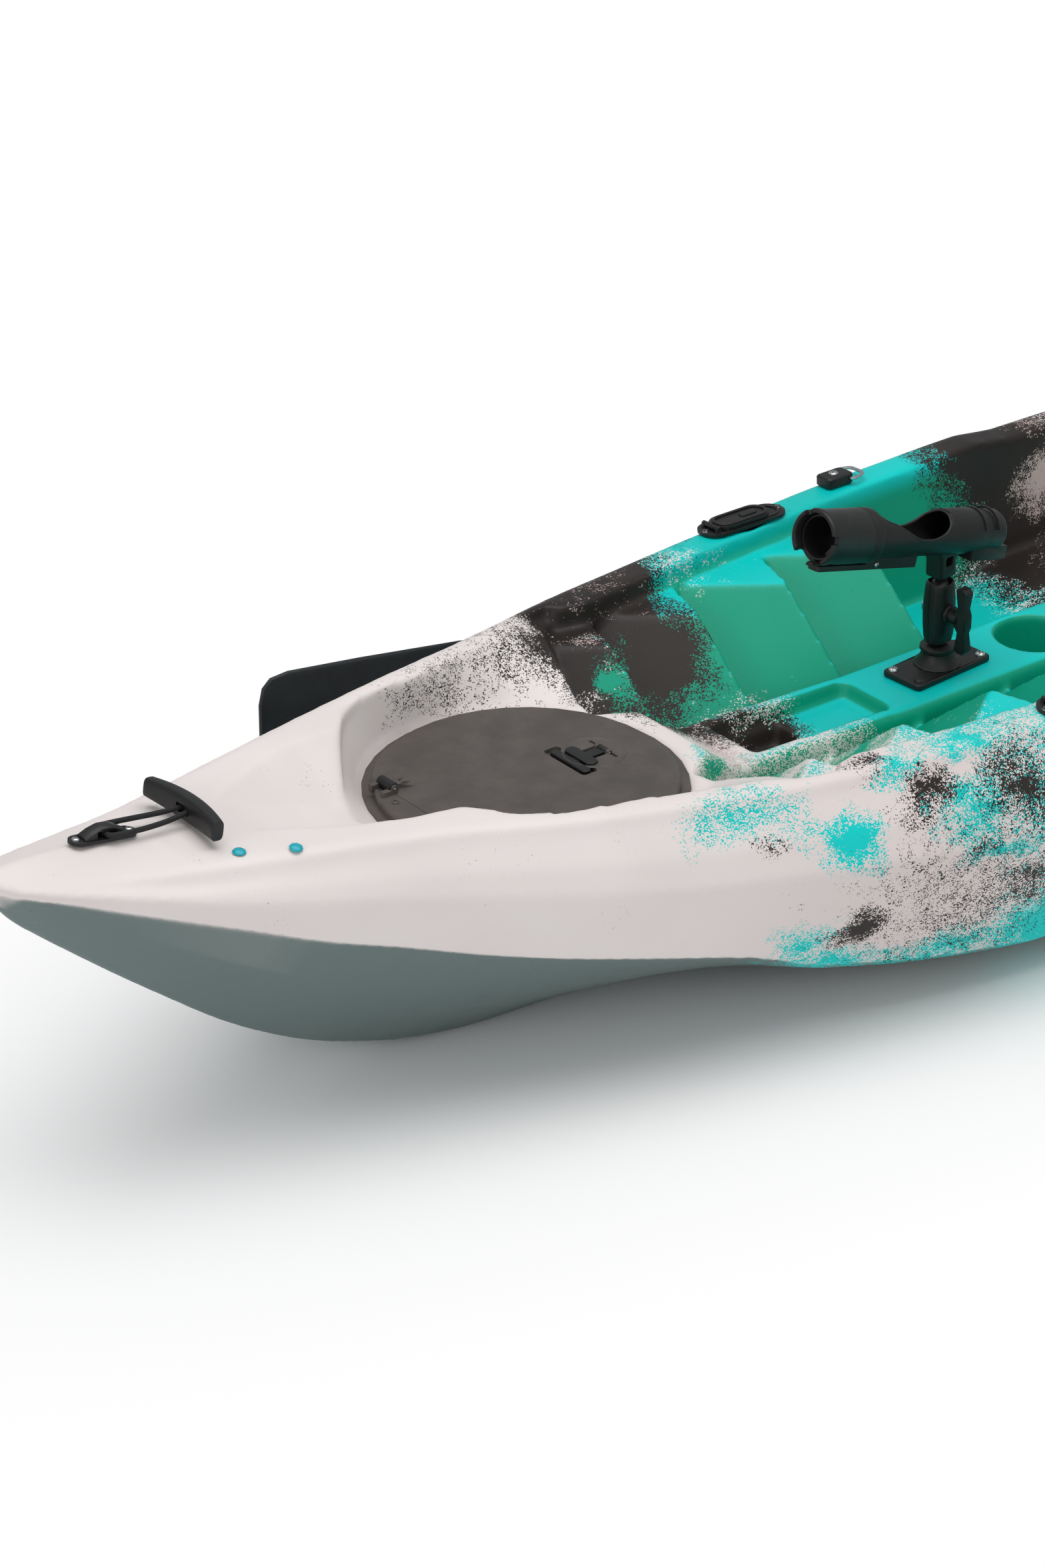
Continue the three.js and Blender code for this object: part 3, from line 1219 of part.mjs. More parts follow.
// A cradle open at the top, about the shaft's axis, reaching back to the hull's side
function clipSolid(toHull) {
  const cradle = alongX(barrel(clipRadius, clipLength))
    .add(block(clipLength, clipRadius * 2, clipTop).translate([0, 0, clipTop / 2]))
    .add(block(clipLength, toHull, clipRadius + clipBack).translate([0, toHull / 2, (clipBack - clipRadius) / 2]));
  return cradle.subtract(alongX(barrel(clipBore, clipLength * 2)))
    .subtract(block(clipLength * 2, clipBore * 2, hullDepth).translate([0, 0, hullDepth / 2]));
}

const part = new THREE.Group();

function addSolid(name, solid, material) {
  const mesh = new THREE.Mesh(geometryOf(solid), material);
  mesh.name = name;
  part.add(mesh);
}

const finish = (color, roughness, metalness = 0) => new THREE.MeshStandardMaterial({ color, roughness, metalness });
const hullPlastic = finish(0x1fb8b0, 0.45);

const fittingPlastic = finish(0x1d1d1e, 0.5);
const lidPlastic = finish(0x4f4945, 0.6);
const rubber = finish(0x151515, 0.85);
const cordFibre = finish(0x1a1a1b, 0.9);
const steel = finish(0xb9bcc0, 0.3, 1);
const screwPaint = finish(0x18b7b4, 0.4);
const shaftMetal = finish(0x2a2c2e, 0.35, 1);
const bladePlastic = finish(0x15191b, 0.5);

// The rotomoulded shell, before its fittings' holes are drilled
const outer = hullBody();
const hold = holdBody(hullWall);
const hollow = hold.subtract(deckCuts(hullWall));
const cupX = atStation(cupStationShare);
const cupTop = hullDepth * consoleShares[8][1];
const cupLip = barrel(cupRadius + cupLipWidth, cupLipHeight * 2, cupSides)
  .subtract(barrel(cupRadius, cupLipHeight * 3, cupSides))
  .translate([cupX, 0, cupTop]);
const hatchHole = barrel(hatchHoleRadius, recessFloorHeight - ledgeHeight + hullWall * 4, hatchSides)
  .translate([atStation(hatchStationShare), 0, ledgeHeight]);
const shell = outer.subtract(deckCuts(0)).subtract(hollow).subtract(hatchHole).add(cupLip);
const surface = new THREE.Mesh(geometryOf(shell), new THREE.MeshStandardMaterial({ side: THREE.DoubleSide }));

// Where each fitting lies
const handleFrames = eyeStationShares.map((station, end) => layOn(surface,
  standing(atStation(station), 0, end === 0 ? Math.PI : 0), [-eyeLength / 2, cordReach + gripOffset + gripRadius],
  even(gripLength / 2)));
const rodFrame = standing(atStation(rodStationShare), 0, THREE.MathUtils.degToRad(rodYaw))
  .setPosition(atStation(rodStationShare), 0, cupTop + touchGap);
const sides = { port: 1, starboard: -1 };
const flushPlaces = Object.entries(sides).flatMap(([name, side]) => flushShares.map((station, row) => ({
  name: `${name}_${row === 0 ? 'fore' : 'aft'}`,
  frame: layOn(surface, standing(atStation(station), side * (gunwaleHalf(station) - flushInset)),
    even(flangeLength / 2), even(flangeWidth / 2 - edgeBreak)),
})));
const eyeletPlaces = Object.entries(sides).map(([name, side]) => ({
  name,
  frame: layOn(surface, standing(atStation(eyeletShare), side * (gunwaleHalf(eyeletShare) - eyeletInset)),
    even(eyeletLength / 2), even(eyeletWidth / 2)),
}));
const blankPlaces = blankShares.map(([station, half]) => layOn(surface, standing(atStation(station), halfBeam * half),
  even(blankHead), even(blankHead)));
const sidePlaces = Object.entries(sides).map(([name, side]) => {
  const base = new THREE.Matrix4().makeBasis(new THREE.Vector3(-side, 0, 0), new THREE.Vector3(0, 0, 1),
    new THREE.Vector3(0, side, 0)).setPosition(atStation(sideShare), 0, hullDepth * sideHeightShare);
  return { name, frame: layOn(surface, base, even(sidePlateLength / 2), even(sidePlateWidth / 2)) };
});
const drainFrame = layOn(surface, standing(atStation(drainShare), 0), even(edgeRound), even(edgeRound));
const bungeeMiddle = (bungeeShares[0] + bungeeShares[1]) / 2;
const bungeeHalf = (hullLength * (bungeeShares[1] - bungeeShares[0])) / 2;
const bungeeSide = bungeeShares.map((station) => gunwaleHalf(station) - bungeeInset);
const bungeeFrame = layOn(surface, standing(atStation(bungeeMiddle), 0), even(bungeeHalf), even(bungeeSide[0]));
const drilled = shell.subtract(joined([
  ...flushPlaces.map(({ frame }) => placed(flushHole(), frame)),
  ...blankPlaces.map((frame) => placed(barrel(blankHole, hullWall * 6, smallSides), frame)),
  placed(barrel(drainHole, hullWall * 8), drainFrame),
]));

// The hull's five pieces
const bottom = drilled.intersect(underCrease(0)).subtract(hold);
const lower = underCrease(touchGap).subtract(holdBody(hullWall + touchGap));
const deck = drilled.subtract(lower).subtract(bottom);
const splits = [-overrunShare, bowSplitShare, seatSplitShare, sternSplitShare, 1 + overrunShare];
addSolid('hull_bottom', largest(bottom), hullPlastic);
['deck_bow', 'deck_footwells', 'deck_seat', 'deck_stern'].forEach((name, i) => {
  addSolid(name, largest(deck.intersect(between(splits[i], splits[i + 1]))), hullPlastic);
});

// Carry handles
['bow', 'stern'].forEach((name, end) => {
  addSolid(`pad_eye_${name}`, placed(eyeSolid(), handleFrames[end]), fittingPlastic);
  addSolid(`cord_loop_${name}`, placed(handleCord(), handleFrames[end]), cordFibre);
  addSolid(`t_grip_${name}`, placed(gripSolid(), handleFrames[end]), fittingPlastic);
});

// Hatch
addSolid('hatch_rim', rimSolid(), lidPlastic);
addSolid('hatch_gasket', gasketSolid(), rubber);
addSolid('hatch_lid', lidSolid(), lidPlastic);
Object.entries(sides).forEach(([name, side]) => {
  const length = knuckleLength + (knuckleGap + earLength) * 2;
  addSolid(`hinge_pin_${name}`, hatchPlace(alongY(barrel(pinRadius, length, smallSides))
    .translate([chordOffset, side * hingeHalfSpan, hingeHeight])), steel);
});
addSolid('hatch_latch', latchSolid(), fittingPlastic);
addSolid('latch_pin', hatchPlace(alongY(barrel(pinRadius, latchPinLength, smallSides))
  .translate([-latchPivotOffset, 0, latchPinHeight])), steel);

// Adjustable rod holder
const rodPlaced = (solid) => placed(solid, rodFrame);
addSolid('rod_base_plate', rodPlaced(basePlateSolid()), fittingPlastic);
['fore', 'aft'].forEach((name, i) => {
  const [x, y] = plateCorners[i];
  const screw = baseScrewSolid().translate([x, y, plateThick - countersinkDepth]);
  addSolid(`base_screw_${name}`, rodPlaced(screw), steel);
});
addSolid('clamp_half_port', rodPlaced(clampSolid().translate([0, 0, clampMiddle])), fittingPlastic);
addSolid('clamp_half_starboard', rodPlaced(clampSolid().mirror([0, 1, 0]).translate([0, 0, clampMiddle])),
  fittingPlastic);
addSolid('clamp_bolt', rodPlaced(boltSolid().translate([0, 0, clampMiddle])), steel);
addSolid('clamp_knob', rodPlaced(knobSolid().translate([0, 0, clampMiddle])), fittingPlastic);
addSolid('rod_tube', rodPlaced(tubeSolid()), fittingPlastic);
addSolid('rod_collar', rodPlaced(collarSolid()), fittingPlastic);

// Flush rod holders, eyelets, blanking screws
flushPlaces.forEach(({ name, frame }) => {
  addSolid(`flush_tube_${name}`, placed(flushTubeSolid(), frame), fittingPlastic);
  addSolid(`flush_cap_${name}`, placed(flushCapSolid(), frame), fittingPlastic);
});
eyeletPlaces.forEach(({ name, frame }) => {
  addSolid(`eyelet_${name}`, placed(eyeletSolid(), frame), fittingPlastic);
  addSolid(`d_ring_${name}`, placed(ringSolid(), frame), steel);
});
['fore', 'aft'].forEach((name, i) => {
  addSolid(`blank_screw_${name}`, placed(screwSolid(), blankPlaces[i]), screwPaint);
});

// Side carry handles, drain plug
sidePlaces.forEach(({ name, frame }) => {
  addSolid(`side_mount_${name}`, placed(sideMountSolid(), frame), fittingPlastic);
  addSolid(`side_grip_${name}`, placed(sideGripSolid(), frame), fittingPlastic);
});
addSolid('drain_plug', placed(drainSolid(), drainFrame), fittingPlastic);

// Bungee over the tank well
const bungeeCorners = [
  [bungeeHalf, bungeeSide[0]], [-bungeeHalf, bungeeSide[1]], [-bungeeHalf, -bungeeSide[1]],
  [bungeeHalf, -bungeeSide[0]],
];
addSolid('tank_bungee', placed(wireLoop(bungeeCorners, bungeeCorner, bungeeRadius)
  .translate([0, 0, bungeeHeight]), bungeeFrame), cordFibre);
Object.entries(sides).forEach(([name, side]) => {
  const slope = Math.atan2(side * (bungeeSide[0] - bungeeSide[1]), bungeeHalf * 2);
  ['fore', 'aft'].forEach((row, i) => {
    const reach = (i === 0 ? 1 : -1) * hookAlongShare;
    const y = THREE.MathUtils.lerp(bungeeSide[1], bungeeSide[0], (1 + reach) / 2);
    const hook = slab(roundedShape(hookLength, hookWidth, hookWidth / 4), hookHeight, 0)
      .subtract(alongX(barrel(bungeeBore, hookLength * 2, smallSides)).translate([0, 0, bungeeHeight]))
      .rotate([0, 0, THREE.MathUtils.radToDeg(slope)])
      .translate([reach * bungeeHalf, side * y, 0]);
    addSolid(`bungee_hook_${name}_${row}`, placed(hook, bungeeFrame), fittingPlastic);
  });
});

// Paddle and its clips
const tipX = atStation(paddleTipShare);
const paddleZ = hullDepth * paddleHeightShare;
const dripX = bladeRoot + shaftSpan * dripShare;
const clipInset = bladeRoot + shaftSpan * clipShare;
const foreward = (solid) => solid.rotate([0, 0, halfTurn]).translate([tipX, paddleY, paddleZ]);
const backward = (solid) => solid.translate([tipX - paddleLength, paddleY, paddleZ]);
addSolid('paddle_blade_fore', foreward(bladeSolid()), bladePlastic);
addSolid('paddle_blade_aft', backward(bladeSolid()), bladePlastic);
addSolid('paddle_shaft_fore', foreward(shaftForeSolid()), shaftMetal);
addSolid('paddle_shaft_aft', foreward(shaftAftSolid()), shaftMetal);
addSolid('drip_ring_fore', foreward(dripSolid().translate([dripX, 0, 0])), rubber);
addSolid('drip_ring_aft', backward(dripSolid().translate([dripX, 0, 0])), rubber);
[tipX - clipInset, tipX - paddleLength + clipInset].forEach((x, end) => {
  const base = new THREE.Matrix4().makeBasis(new THREE.Vector3(1, 0, 0), new THREE.Vector3(0, 0, 1),
    new THREE.Vector3(0, -1, 0)).setPosition(x, 0, paddleZ);
  const reach = samplesOn(surface, base, even(clipLength / 2), [-clipRadius, clipBack]).map((s) => s.height);
  const toHull = -paddleY - Math.max(...reach) - touchGap;
  addSolid(`paddle_clip_${end === 0 ? 'fore' : 'aft'}`, clipSolid(toHull).translate([x, paddleY, paddleZ]), rubber);
});

export default part;
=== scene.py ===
"""Fishing kayak: its finish and its moulded forms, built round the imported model.

Metres. The bow is along +X, port along +Y and up is +Z, with the origin under the hull's middle.
"""
import json
from math import copysign, cos, pi, radians, sin, sqrt, tau

import bmesh
import bpy
from bmesh import ops
from mathutils import Matrix, Vector


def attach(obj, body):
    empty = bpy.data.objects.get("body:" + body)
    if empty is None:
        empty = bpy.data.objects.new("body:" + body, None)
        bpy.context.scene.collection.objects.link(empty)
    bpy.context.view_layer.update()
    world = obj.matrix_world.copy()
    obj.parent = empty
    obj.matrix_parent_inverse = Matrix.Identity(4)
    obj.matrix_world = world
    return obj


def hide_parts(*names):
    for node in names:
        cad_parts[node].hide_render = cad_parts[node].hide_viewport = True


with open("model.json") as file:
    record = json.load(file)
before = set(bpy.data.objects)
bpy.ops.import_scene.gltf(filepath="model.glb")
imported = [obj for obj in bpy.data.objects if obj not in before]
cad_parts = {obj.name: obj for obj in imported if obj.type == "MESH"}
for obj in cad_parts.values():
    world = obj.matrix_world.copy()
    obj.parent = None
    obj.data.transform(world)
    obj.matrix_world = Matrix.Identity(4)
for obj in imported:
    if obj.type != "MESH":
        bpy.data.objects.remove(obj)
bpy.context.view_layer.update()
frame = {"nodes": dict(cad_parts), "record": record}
scene = bpy.context.scene
scene.view_settings.view_transform = "Standard"


# Camera and light

def linked(name, data):
    """A new object in the scene."""
    made = bpy.data.objects.new(name, data)
    scene.collection.objects.link(made)
    return made


def aimed(eye, back):
    """A matrix that stands at eye and looks along minus back, with its side level."""
    back = Vector(back).normalized()
    side = Vector((0, 0, 1)).cross(back).normalized()
    return Matrix.Translation(eye) @ Matrix((side, back.cross(side), back)).transposed().to_4x4()


def place_camera():
    lens = bpy.data.cameras.new("camera")
    lens.sensor_width = 36
    lens.lens = 113.9
    lens.clip_end = 100
    camera = linked("camera", lens)
    camera.matrix_world = aimed((4.0956, 3.9169, 2.9115), (0.5436, 0.6958, 0.4695))
    scene.camera = camera


def place_lamp(name, eye, back, size, watts):
    lamp = bpy.data.lights.new(name, "AREA")
    lamp.shape = "RECTANGLE"
    lamp.size, lamp.size_y = size
    lamp.energy = watts
    linked(name, lamp).matrix_world = aimed(eye, back)


place_camera()
place_lamp("overhead_softbox", (0.6, 0.2, 3.6), (0.02, 0.02, 1), (4.2, 2.4), 84)
place_lamp("bow_softbox", (4.6, 1.2, 2), (1, 0.18, 0.36), (2.2, 1.6), 26)
place_lamp("port_softbox", (1.4, 4.2, 2.2), (0.1, 1, 0.42), (3.2, 1.4), 15)


# Finishes

def tint(red, green, blue):
    """A colour as a picture gives it, made linear."""
    def linear(level):
        share = level / 255
        return share / 12.92 if share <= 0.04045 else ((share + 0.055) / 1.055) ** 2.4
    return linear(red), linear(green), linear(blue), 1


class Level:
    """One value in a finish, with the sums that its nodes do."""

    def __init__(self, finish, link):
        self.finish = finish
        self.link = link

    def sums(self, operation, *values):
        return self.finish.node("Math", {"operation": operation}, values)

    def __add__(self, other):
        return self.sums("ADD", self, other)

    def __sub__(self, other):
        return self.sums("SUBTRACT", self, other)

    def __rsub__(self, other):
        return self.sums("SUBTRACT", other, self)

    def __mul__(self, other):
        return self.sums("MULTIPLY", self, other)

    def most(self, other):
        return self.sums("MAXIMUM", self, other)

    def between(self, low, high):
        """Rises smoothly from 0 at low to 1 at high."""
        return self.finish.node("MapRange", {"interpolation_type": "SMOOTHSTEP"},
                                {"Value": self, "From Min": low, "From Max": high})


class Finish:
    """A material of nodes that end in one shader."""

    def __init__(self, name, **levels):
        self.material = bpy.data.materials.new(name)
        self.material.use_nodes = True
        self.tree = self.material.node_tree
        self.shader = self.tree.nodes["Principled BSDF"]
        for socket, level in levels.items():
            self.shader.inputs[socket.replace("_", " ")].default_value = level
        self.place = self.node("TexCoord", result="Object")

    def node(self, kind, settings=None, values=(), result=0):
        made = self.tree.nodes.new("ShaderNode" + kind)
        for name, value in (settings or {}).items():
            setattr(made, name, value)
        pairs = values.items() if isinstance(values, dict) else enumerate(values)
        for key, value in pairs:
            if isinstance(value, Level):
                self.tree.links.new(value.link, made.inputs[key])
            else:
                made.inputs[key].default_value = value
        return Level(self, made.outputs[result])

    def feed(self, socket, value):
        self.tree.links.new(value.link, self.shader.inputs[socket])

    def grain(self, scale, detail=2, roughness=0.5, place=None, result=0):
        values = {"Vector": place or self.place, "Scale": scale, "Detail": detail, "Roughness": roughness}
        return self.node("TexNoise", None, values, result)

    def mix(self, share, first, second):
        return self.node("Mix", {"data_type": "RGBA"}, {0: share, 6: first, 7: second}, 2)

    def vector(self, operation, *values, result=0):
        return self.node("VectorMath", {"operation": operation}, values, result)

    def part(self, vector, axis):
        return self.node("SeparateXYZ", None, [vector], axis)

    def shaded(self, colour, roughness, height, strength, distance):
        """The material, once its shader has a colour, a roughness and a relief."""
        relief = {"Height": height, "Strength": strength, "Distance": distance}
        self.feed("Base Color", colour)
        self.feed("Roughness", roughness)
        self.feed("Normal", self.node("Bump", None, relief))
        return self.material


CREAM = tint(232, 224, 221)
WARM_CREAM = tint(216, 201, 198)
PINK = tint(199, 178, 174)
TURQUOISE = tint(0, 207, 202)
DULL_TURQUOISE = tint(3, 193, 186)
SHADED_GREEN = tint(0, 160, 128)
CHARCOAL = tint(50, 43, 40)
DARK_CHARCOAL = tint(38, 33, 31)
# Painted shade: the grey teal that downward-facing hull surfaces take in place of cream
UNDERSIDE_SHADE = tint(104, 120, 118)
GRANULE_SCALE = 720
CLUMP_SCALE = 46

# Patches of the blended plastic: middle, reach along each axis, share of granules there, and its fall
TURQUOISE_PATCHES = [
    (0.93, 0.262, 0.304, 0.09, 0.06, 0.032, 0.95, 0.9), (0.845, 0.3, 0.275, 0.04, 0.04, 0.03, 0.4, 0.4),
    (0.812, 0.32, 0.253, 0.048, 0.06, 0.042, 1.5, 1.4), (0.735, 0.292, 0.312, 0.05, 0.03, 0.02, 1, 0.95),
    (0.63, 0.28, 0.325, 0.08, 0.06, 0.022, 1.9, 1.6), (0.655, 0.345, 0.252, 0.055, 0.05, 0.045, 1.5, 1.3),
    (0.56, 0.345, 0.25, 0.08, 0.07, 0.07, 0.8, 0.6), (0.865, 0.296, 0.138, 0.045, 0.05, 0.035, 1, 0.9),
    (0.83, 0.295, 0.096, 0.11, 0.06, 0.022, 1.1, 0.9), (0.68, 0.325, 0.08, 0.13, 0.07, 0.028, 1, 0.8),
    (0.52, 0.34, 0.08, 0.11, 0.07, 0.07, 1.7, 1.3), (0.63, 0.366, 0.206, 0.06, 0.04, 0.016, 1.2, 1),
    (0.355, -0.31, 0.31, 0.255, 0.09, 0.08, 3, 2.4), (0.36, -0.19, 0.21, 0.3, 0.19, 0.16, 3, 2.3),
    (0.42, 0, 0.21, 0.22, 0.13, 0.08, 2.8, 2.2), (0.24, 0, 0.2, 0.16, 0.12, 0.12, 3, 2.2),
    (0.21, -0.24, 0.23, 0.15, 0.17, 0.17, 3, 2.3), (0.81, 0.078, 0.25, 0.04, 0.035, 0.035, 1.4, 1.2),
    (0.7, 0.12, 0.23, 0.12, 0.07, 0.08, 1.6, 1.3), (0.32, 0.2, 0.22, 0.34, 0.18, 0.16, 2.4, 1.8),
    (0.665, -0.225, 0.288, 0.04, 0.03, 0.02, 0.9, 0.8), (0.67, -0.11, 0.2, 0.05, 0.05, 0.04, 0.8, 0.7),
    (0.2, 0.39, 0.2, 0.22, 0.08, 0.16, 1.8, 1.3), (-0.1, 0.38, 0.1, 0.2, 0.1, 0.1, 1.2, 1),
    (-0.55, 0.3, 0.3, 0.17, 0.14, 0.1, 1.7, 1.3), (-0.95, -0.25, 0.24, 0.26, 0.18, 0.17, 1.7, 1.3),
    (-1.25, 0.2, 0.3, 0.15, 0.15, 0.13, 1.7, 1.3), (-0.25, -0.36, 0.18, 0.2, 0.1, 0.13, 1.6, 1.2),
    (-1.6, -0.05, 0.34, 0.07, 0.12, 0.1, 1.4, 1.1), (-0.2, 0.05, 0.14, 0.18, 0.17, 0.08, 1.8, 1.4),
    (0.1, -0.1, 0.02, 0.55, 0.3, 0.06, 1.5, 1.2), (0.42, -0.36, 0.16, 0.2, 0.1, 0.12, 1.6, 1.2),
    (0.655, -0.2, 0.235, 0.14, 0.16, 0.14, 2.6, 2.35)]
CHARCOAL_PATCHES = [
    (0.768, 0.264, 0.317, 0.035, 0.028, 0.016, 0.75, 0.7),
    (0.705, 0.322, 0.277, 0.048, 0.04, 0.034, 1.2, 1.1),
    (0.585, 0.338, 0.262, 0.075, 0.07, 0.055, 1.1, 0.9),
    (0.915, 0.29, 0.27, 0.035, 0.03, 0.012, 0.42, 0.42), (0.806, 0.315, 0.14, 0.042, 0.05, 0.028, 1.3, 1.2),
    (0.65, 0.345, 0.15, 0.17, 0.08, 0.11, 0.42, 0.38), (0.585, 0.362, 0.15, 0.055, 0.05, 0.05, 0.95, 0.85),
    (0.655, 0.363, 0.213, 0.04, 0.03, 0.012, 1, 0.9), (0.722, -0.29, 0.325, 0.118, 0.1, 0.08, 3.4, 2.7),
    (0.805, -0.2, 0.27, 0.085, 0.1, 0.07, 2, 1.7), (0.765, -0.1, 0.225, 0.08, 0.09, 0.09, 2, 1.6),
    (0.688, -0.18, 0.252, 0.07, 0.09, 0.07, 2.2, 1.8), (0.71, -0.03, 0.215, 0.08, 0.055, 0.05, 1.5, 1.2),
    (0.645, -0.02, 0.19, 0.06, 0.045, 0.035, 1.7, 1.4), (0.7, -0.13, 0.21, 0.035, 0.03, 0.04, 1.2, 1.1),
    (0.03, -0.33, 0.3, 0.11, 0.11, 0.1, 3, 2.4), (-0.03, -0.25, 0.2, 0.13, 0.17, 0.14, 2.6, 2.1),
    (-0.28, 0.35, 0.26, 0.15, 0.11, 0.12, 1.6, 1.2), (-0.62, -0.3, 0.26, 0.16, 0.12, 0.13, 1.6, 1.2),
    (-0.72, 0.1, 0.24, 0.11, 0.15, 0.1, 1.5, 1.2), (-1.08, 0.27, 0.22, 0.15, 0.12, 0.12, 1.6, 1.2),
    (-1.4, -0.12, 0.31, 0.12, 0.13, 0.12, 1.6, 1.2), (0.4, 0.37, 0.2, 0.12, 0.08, 0.11, 1.2, 1),
    (-0.45, 0, 0.18, 0.1, 0.16, 0.09, 1.5, 1.2), (-0.85, 0, 0.02, 0.35, 0.26, 0.08, 1.2, 1),
    (0.62, -0.34, 0.2, 0.12, 0.08, 0.12, 1.3, 1), (0.875, -0.205, 0.303, 0.085, 0.08, 0.045, 0.62, 0.6),
    (0.99, -0.185, 0.31, 0.1, 0.06, 0.045, 0.46, 0.44)]
PALE_PATCHES = [
    (0.76, 0.03, 0.235, 0.05, 0.045, 0.02, 0.75, 0.7), (-0.05, -0.3, 0.235, 0.07, 0.06, 0.05, 1.4, 1.3),
    (-0.05, -0.355, 0.325, 0.05, 0.05, 0.03, 0.9, 0.8), (-0.05, -0.2, 0.15, 0.07, 0.06, 0.04, 0.9, 0.8),
    (-0.35, -0.36, 0.28, 0.14, 0.1, 0.09, 1.3, 1.1), (-0.85, 0.33, 0.3, 0.12, 0.1, 0.1, 1.3, 1.1),
    (0.725, -0.285, 0.312, 0.06, 0.03, 0.02, 0.16, 0.15),
    (0.775, -0.215, 0.292, 0.03, 0.02, 0.012, 0.6, 0.6)]
STRIPE_PATCHES = [
    (0.772, -0.15, 0.255, 0.026, 0.035, 0.035, 1.5, 1.3), (0.76, -0.115, 0.22, 0.02, 0.025, 0.03, 1.1, 1),
    (0.715, 0.325, 0.268, 0.012, 0.012, 0.01, 1, 0.9), (0.79, 0.2, 0.29, 0.04, 0.02, 0.02, 0.9, 0.8)]


def patch_level(finish, place, patches):
    """The share of granules that have the patches' colour at a point."""
    level = None
    for *bounds, most, fall in patches:
        rate = [1 / reach for reach in bounds[3:]]
        start = [-middle * pace for middle, pace in zip(bounds, rate)]
        away = finish.vector("LENGTH", finish.vector("MULTIPLY_ADD", place, rate, start), result=1)
        share = most - away * fall
        level = share if level is None else level.most(share)
    return level


def blended_plastic():
    """Cream plastic with granules of other colours in patches, and painted shade on downward faces and on
    the cockpit's lower walls.
    """
    finish = Finish("blended_polyethylene", IOR=1.45, Specular_IOR_Level=0.3)
    cloud = finish.vector("SUBTRACT", finish.grain(11, 4, 0.6, result=1), (0.5, 0.5, 0.5))
    place = finish.vector("MULTIPLY_ADD", cloud, (0.1, 0.09, 0.075), finish.place)
    granules = finish.node("TexVoronoi", None, {"Vector": finish.place, "Scale": GRANULE_SCALE}, 1)
    clumps = (finish.grain(CLUMP_SCALE, 6, 0.72) - 0.5) * 1.7
    normal = finish.node("NewGeometry", result="Normal")
    upright = finish.part(normal, 2)
    fore, across, height = (finish.part(finish.place, axis) for axis in range(3))

    def granular(patches, axis):
        chance = finish.part(granules, axis)
        return (patch_level(finish, place, patches) + clumps - chance).between(-0.1, 0.1)

    shade = finish.grain(5, 2).between(0.3, 0.7)
    port_side = across.between(0.22, 0.3) * (1 - fore.between(0.7, 1.2))
    cream = finish.mix(shade * 0.25 + port_side * 0.5, CREAM, WARM_CREAM)
    # Painted shade: faces that turn downward are coloured the grey teal underside shade
    below = upright.between(-0.36, -0.5)
    colour = finish.mix(below, cream, UNDERSIDE_SHADE)
    # Painted shade: below deck level and aft of x 0.9, faces that are not level and face inboard or lie
    # near the middle turn from turquoise to a darker green, while level tops stay turquoise
    deep = (1 - upright.between(0.74, 0.97)) * height.between(0.315, 0.285)
    facing = (across * finish.part(normal, 1)).between(0.01, -0.01)
    central = (across * across).between(0.044, 0.036)
    inboard = facing.most(central) * fore.between(0.9, 0.86)
    turquoise_and_shade = finish.mix(deep * inboard, finish.mix(shade, TURQUOISE, DULL_TURQUOISE), SHADED_GREEN)
    colour = finish.mix(granular(TURQUOISE_PATCHES, 0), colour, turquoise_and_shade)
    soot = finish.mix(shade, CHARCOAL, DARK_CHARCOAL)
    colour = finish.mix(granular(CHARCOAL_PATCHES, 1), colour, soot)
    colour = finish.mix(granular(PALE_PATCHES, 2), colour, PINK)
    colour = finish.mix(granular(STRIPE_PATCHES, 0), colour, turquoise_and_shade)
    stray = finish.part(granules, 2).between(0.985, 0.99) * finish.grain(9, 3, 0.6).between(0.56, 0.72)
    colour = finish.mix(stray * below.most(0.45), colour, CHARCOAL)
    peel = finish.grain(140, 2) + finish.grain(900, 1) * 0.3
    return finish.shaded(colour, finish.grain(26, 3) * 0.16 + 0.33, peel, 0.16, 0.0008)


def moulded(name, dark, light, roughness, scale, strength):
    """Moulded plastic with a fine eroded grain and a faint cloudiness."""
    finish = Finish(name)
    cloud = finish.grain(28, 4, 0.6).between(0.3, 0.75)
    fine = finish.grain(scale, 2, 0.6)
    colour = finish.mix(cloud * 0.7 + fine * 0.3, tint(*dark), tint(*light))
    return finish.shaded(colour, finish.grain(60, 3) * 0.18 + roughness - 0.09, fine, strength, 0.0006)


def metal(name, colour, roughness, streak):
    """Metal with drawn lines along its length."""
    finish = Finish(name, Metallic=1.0)
    drawn = finish.vector("MULTIPLY", finish.place, streak)
    lines = finish.grain(900, 3, 0.6, drawn)
    dull = tuple(level * 0.75 for level in colour[:3]) + (1,)
    colour = finish.mix(lines.between(0.35, 0.7), colour, dull)
    return finish.shaded(colour, lines * 0.2 + roughness - 0.1, lines, 0.08, 0.0003)


def braided(name, colour, light):
    """Cord cover: slanting strands that cross."""
    finish = Finish(name)
    strands = finish.node("TexWave", {"bands_direction": "DIAGONAL"},
                          {"Vector": finish.place, "Scale": 220, "Distortion": 1.2, "Detail": 1})
    cross = finish.node("TexChecker", None, {"Vector": finish.place, "Scale": 640}, 1)
    weave = strands * 0.7 + cross * 0.3
    return finish.shaded(finish.mix(weave, colour, light), weave * 0.1 + 0.72, weave, 0.6, 0.0008)


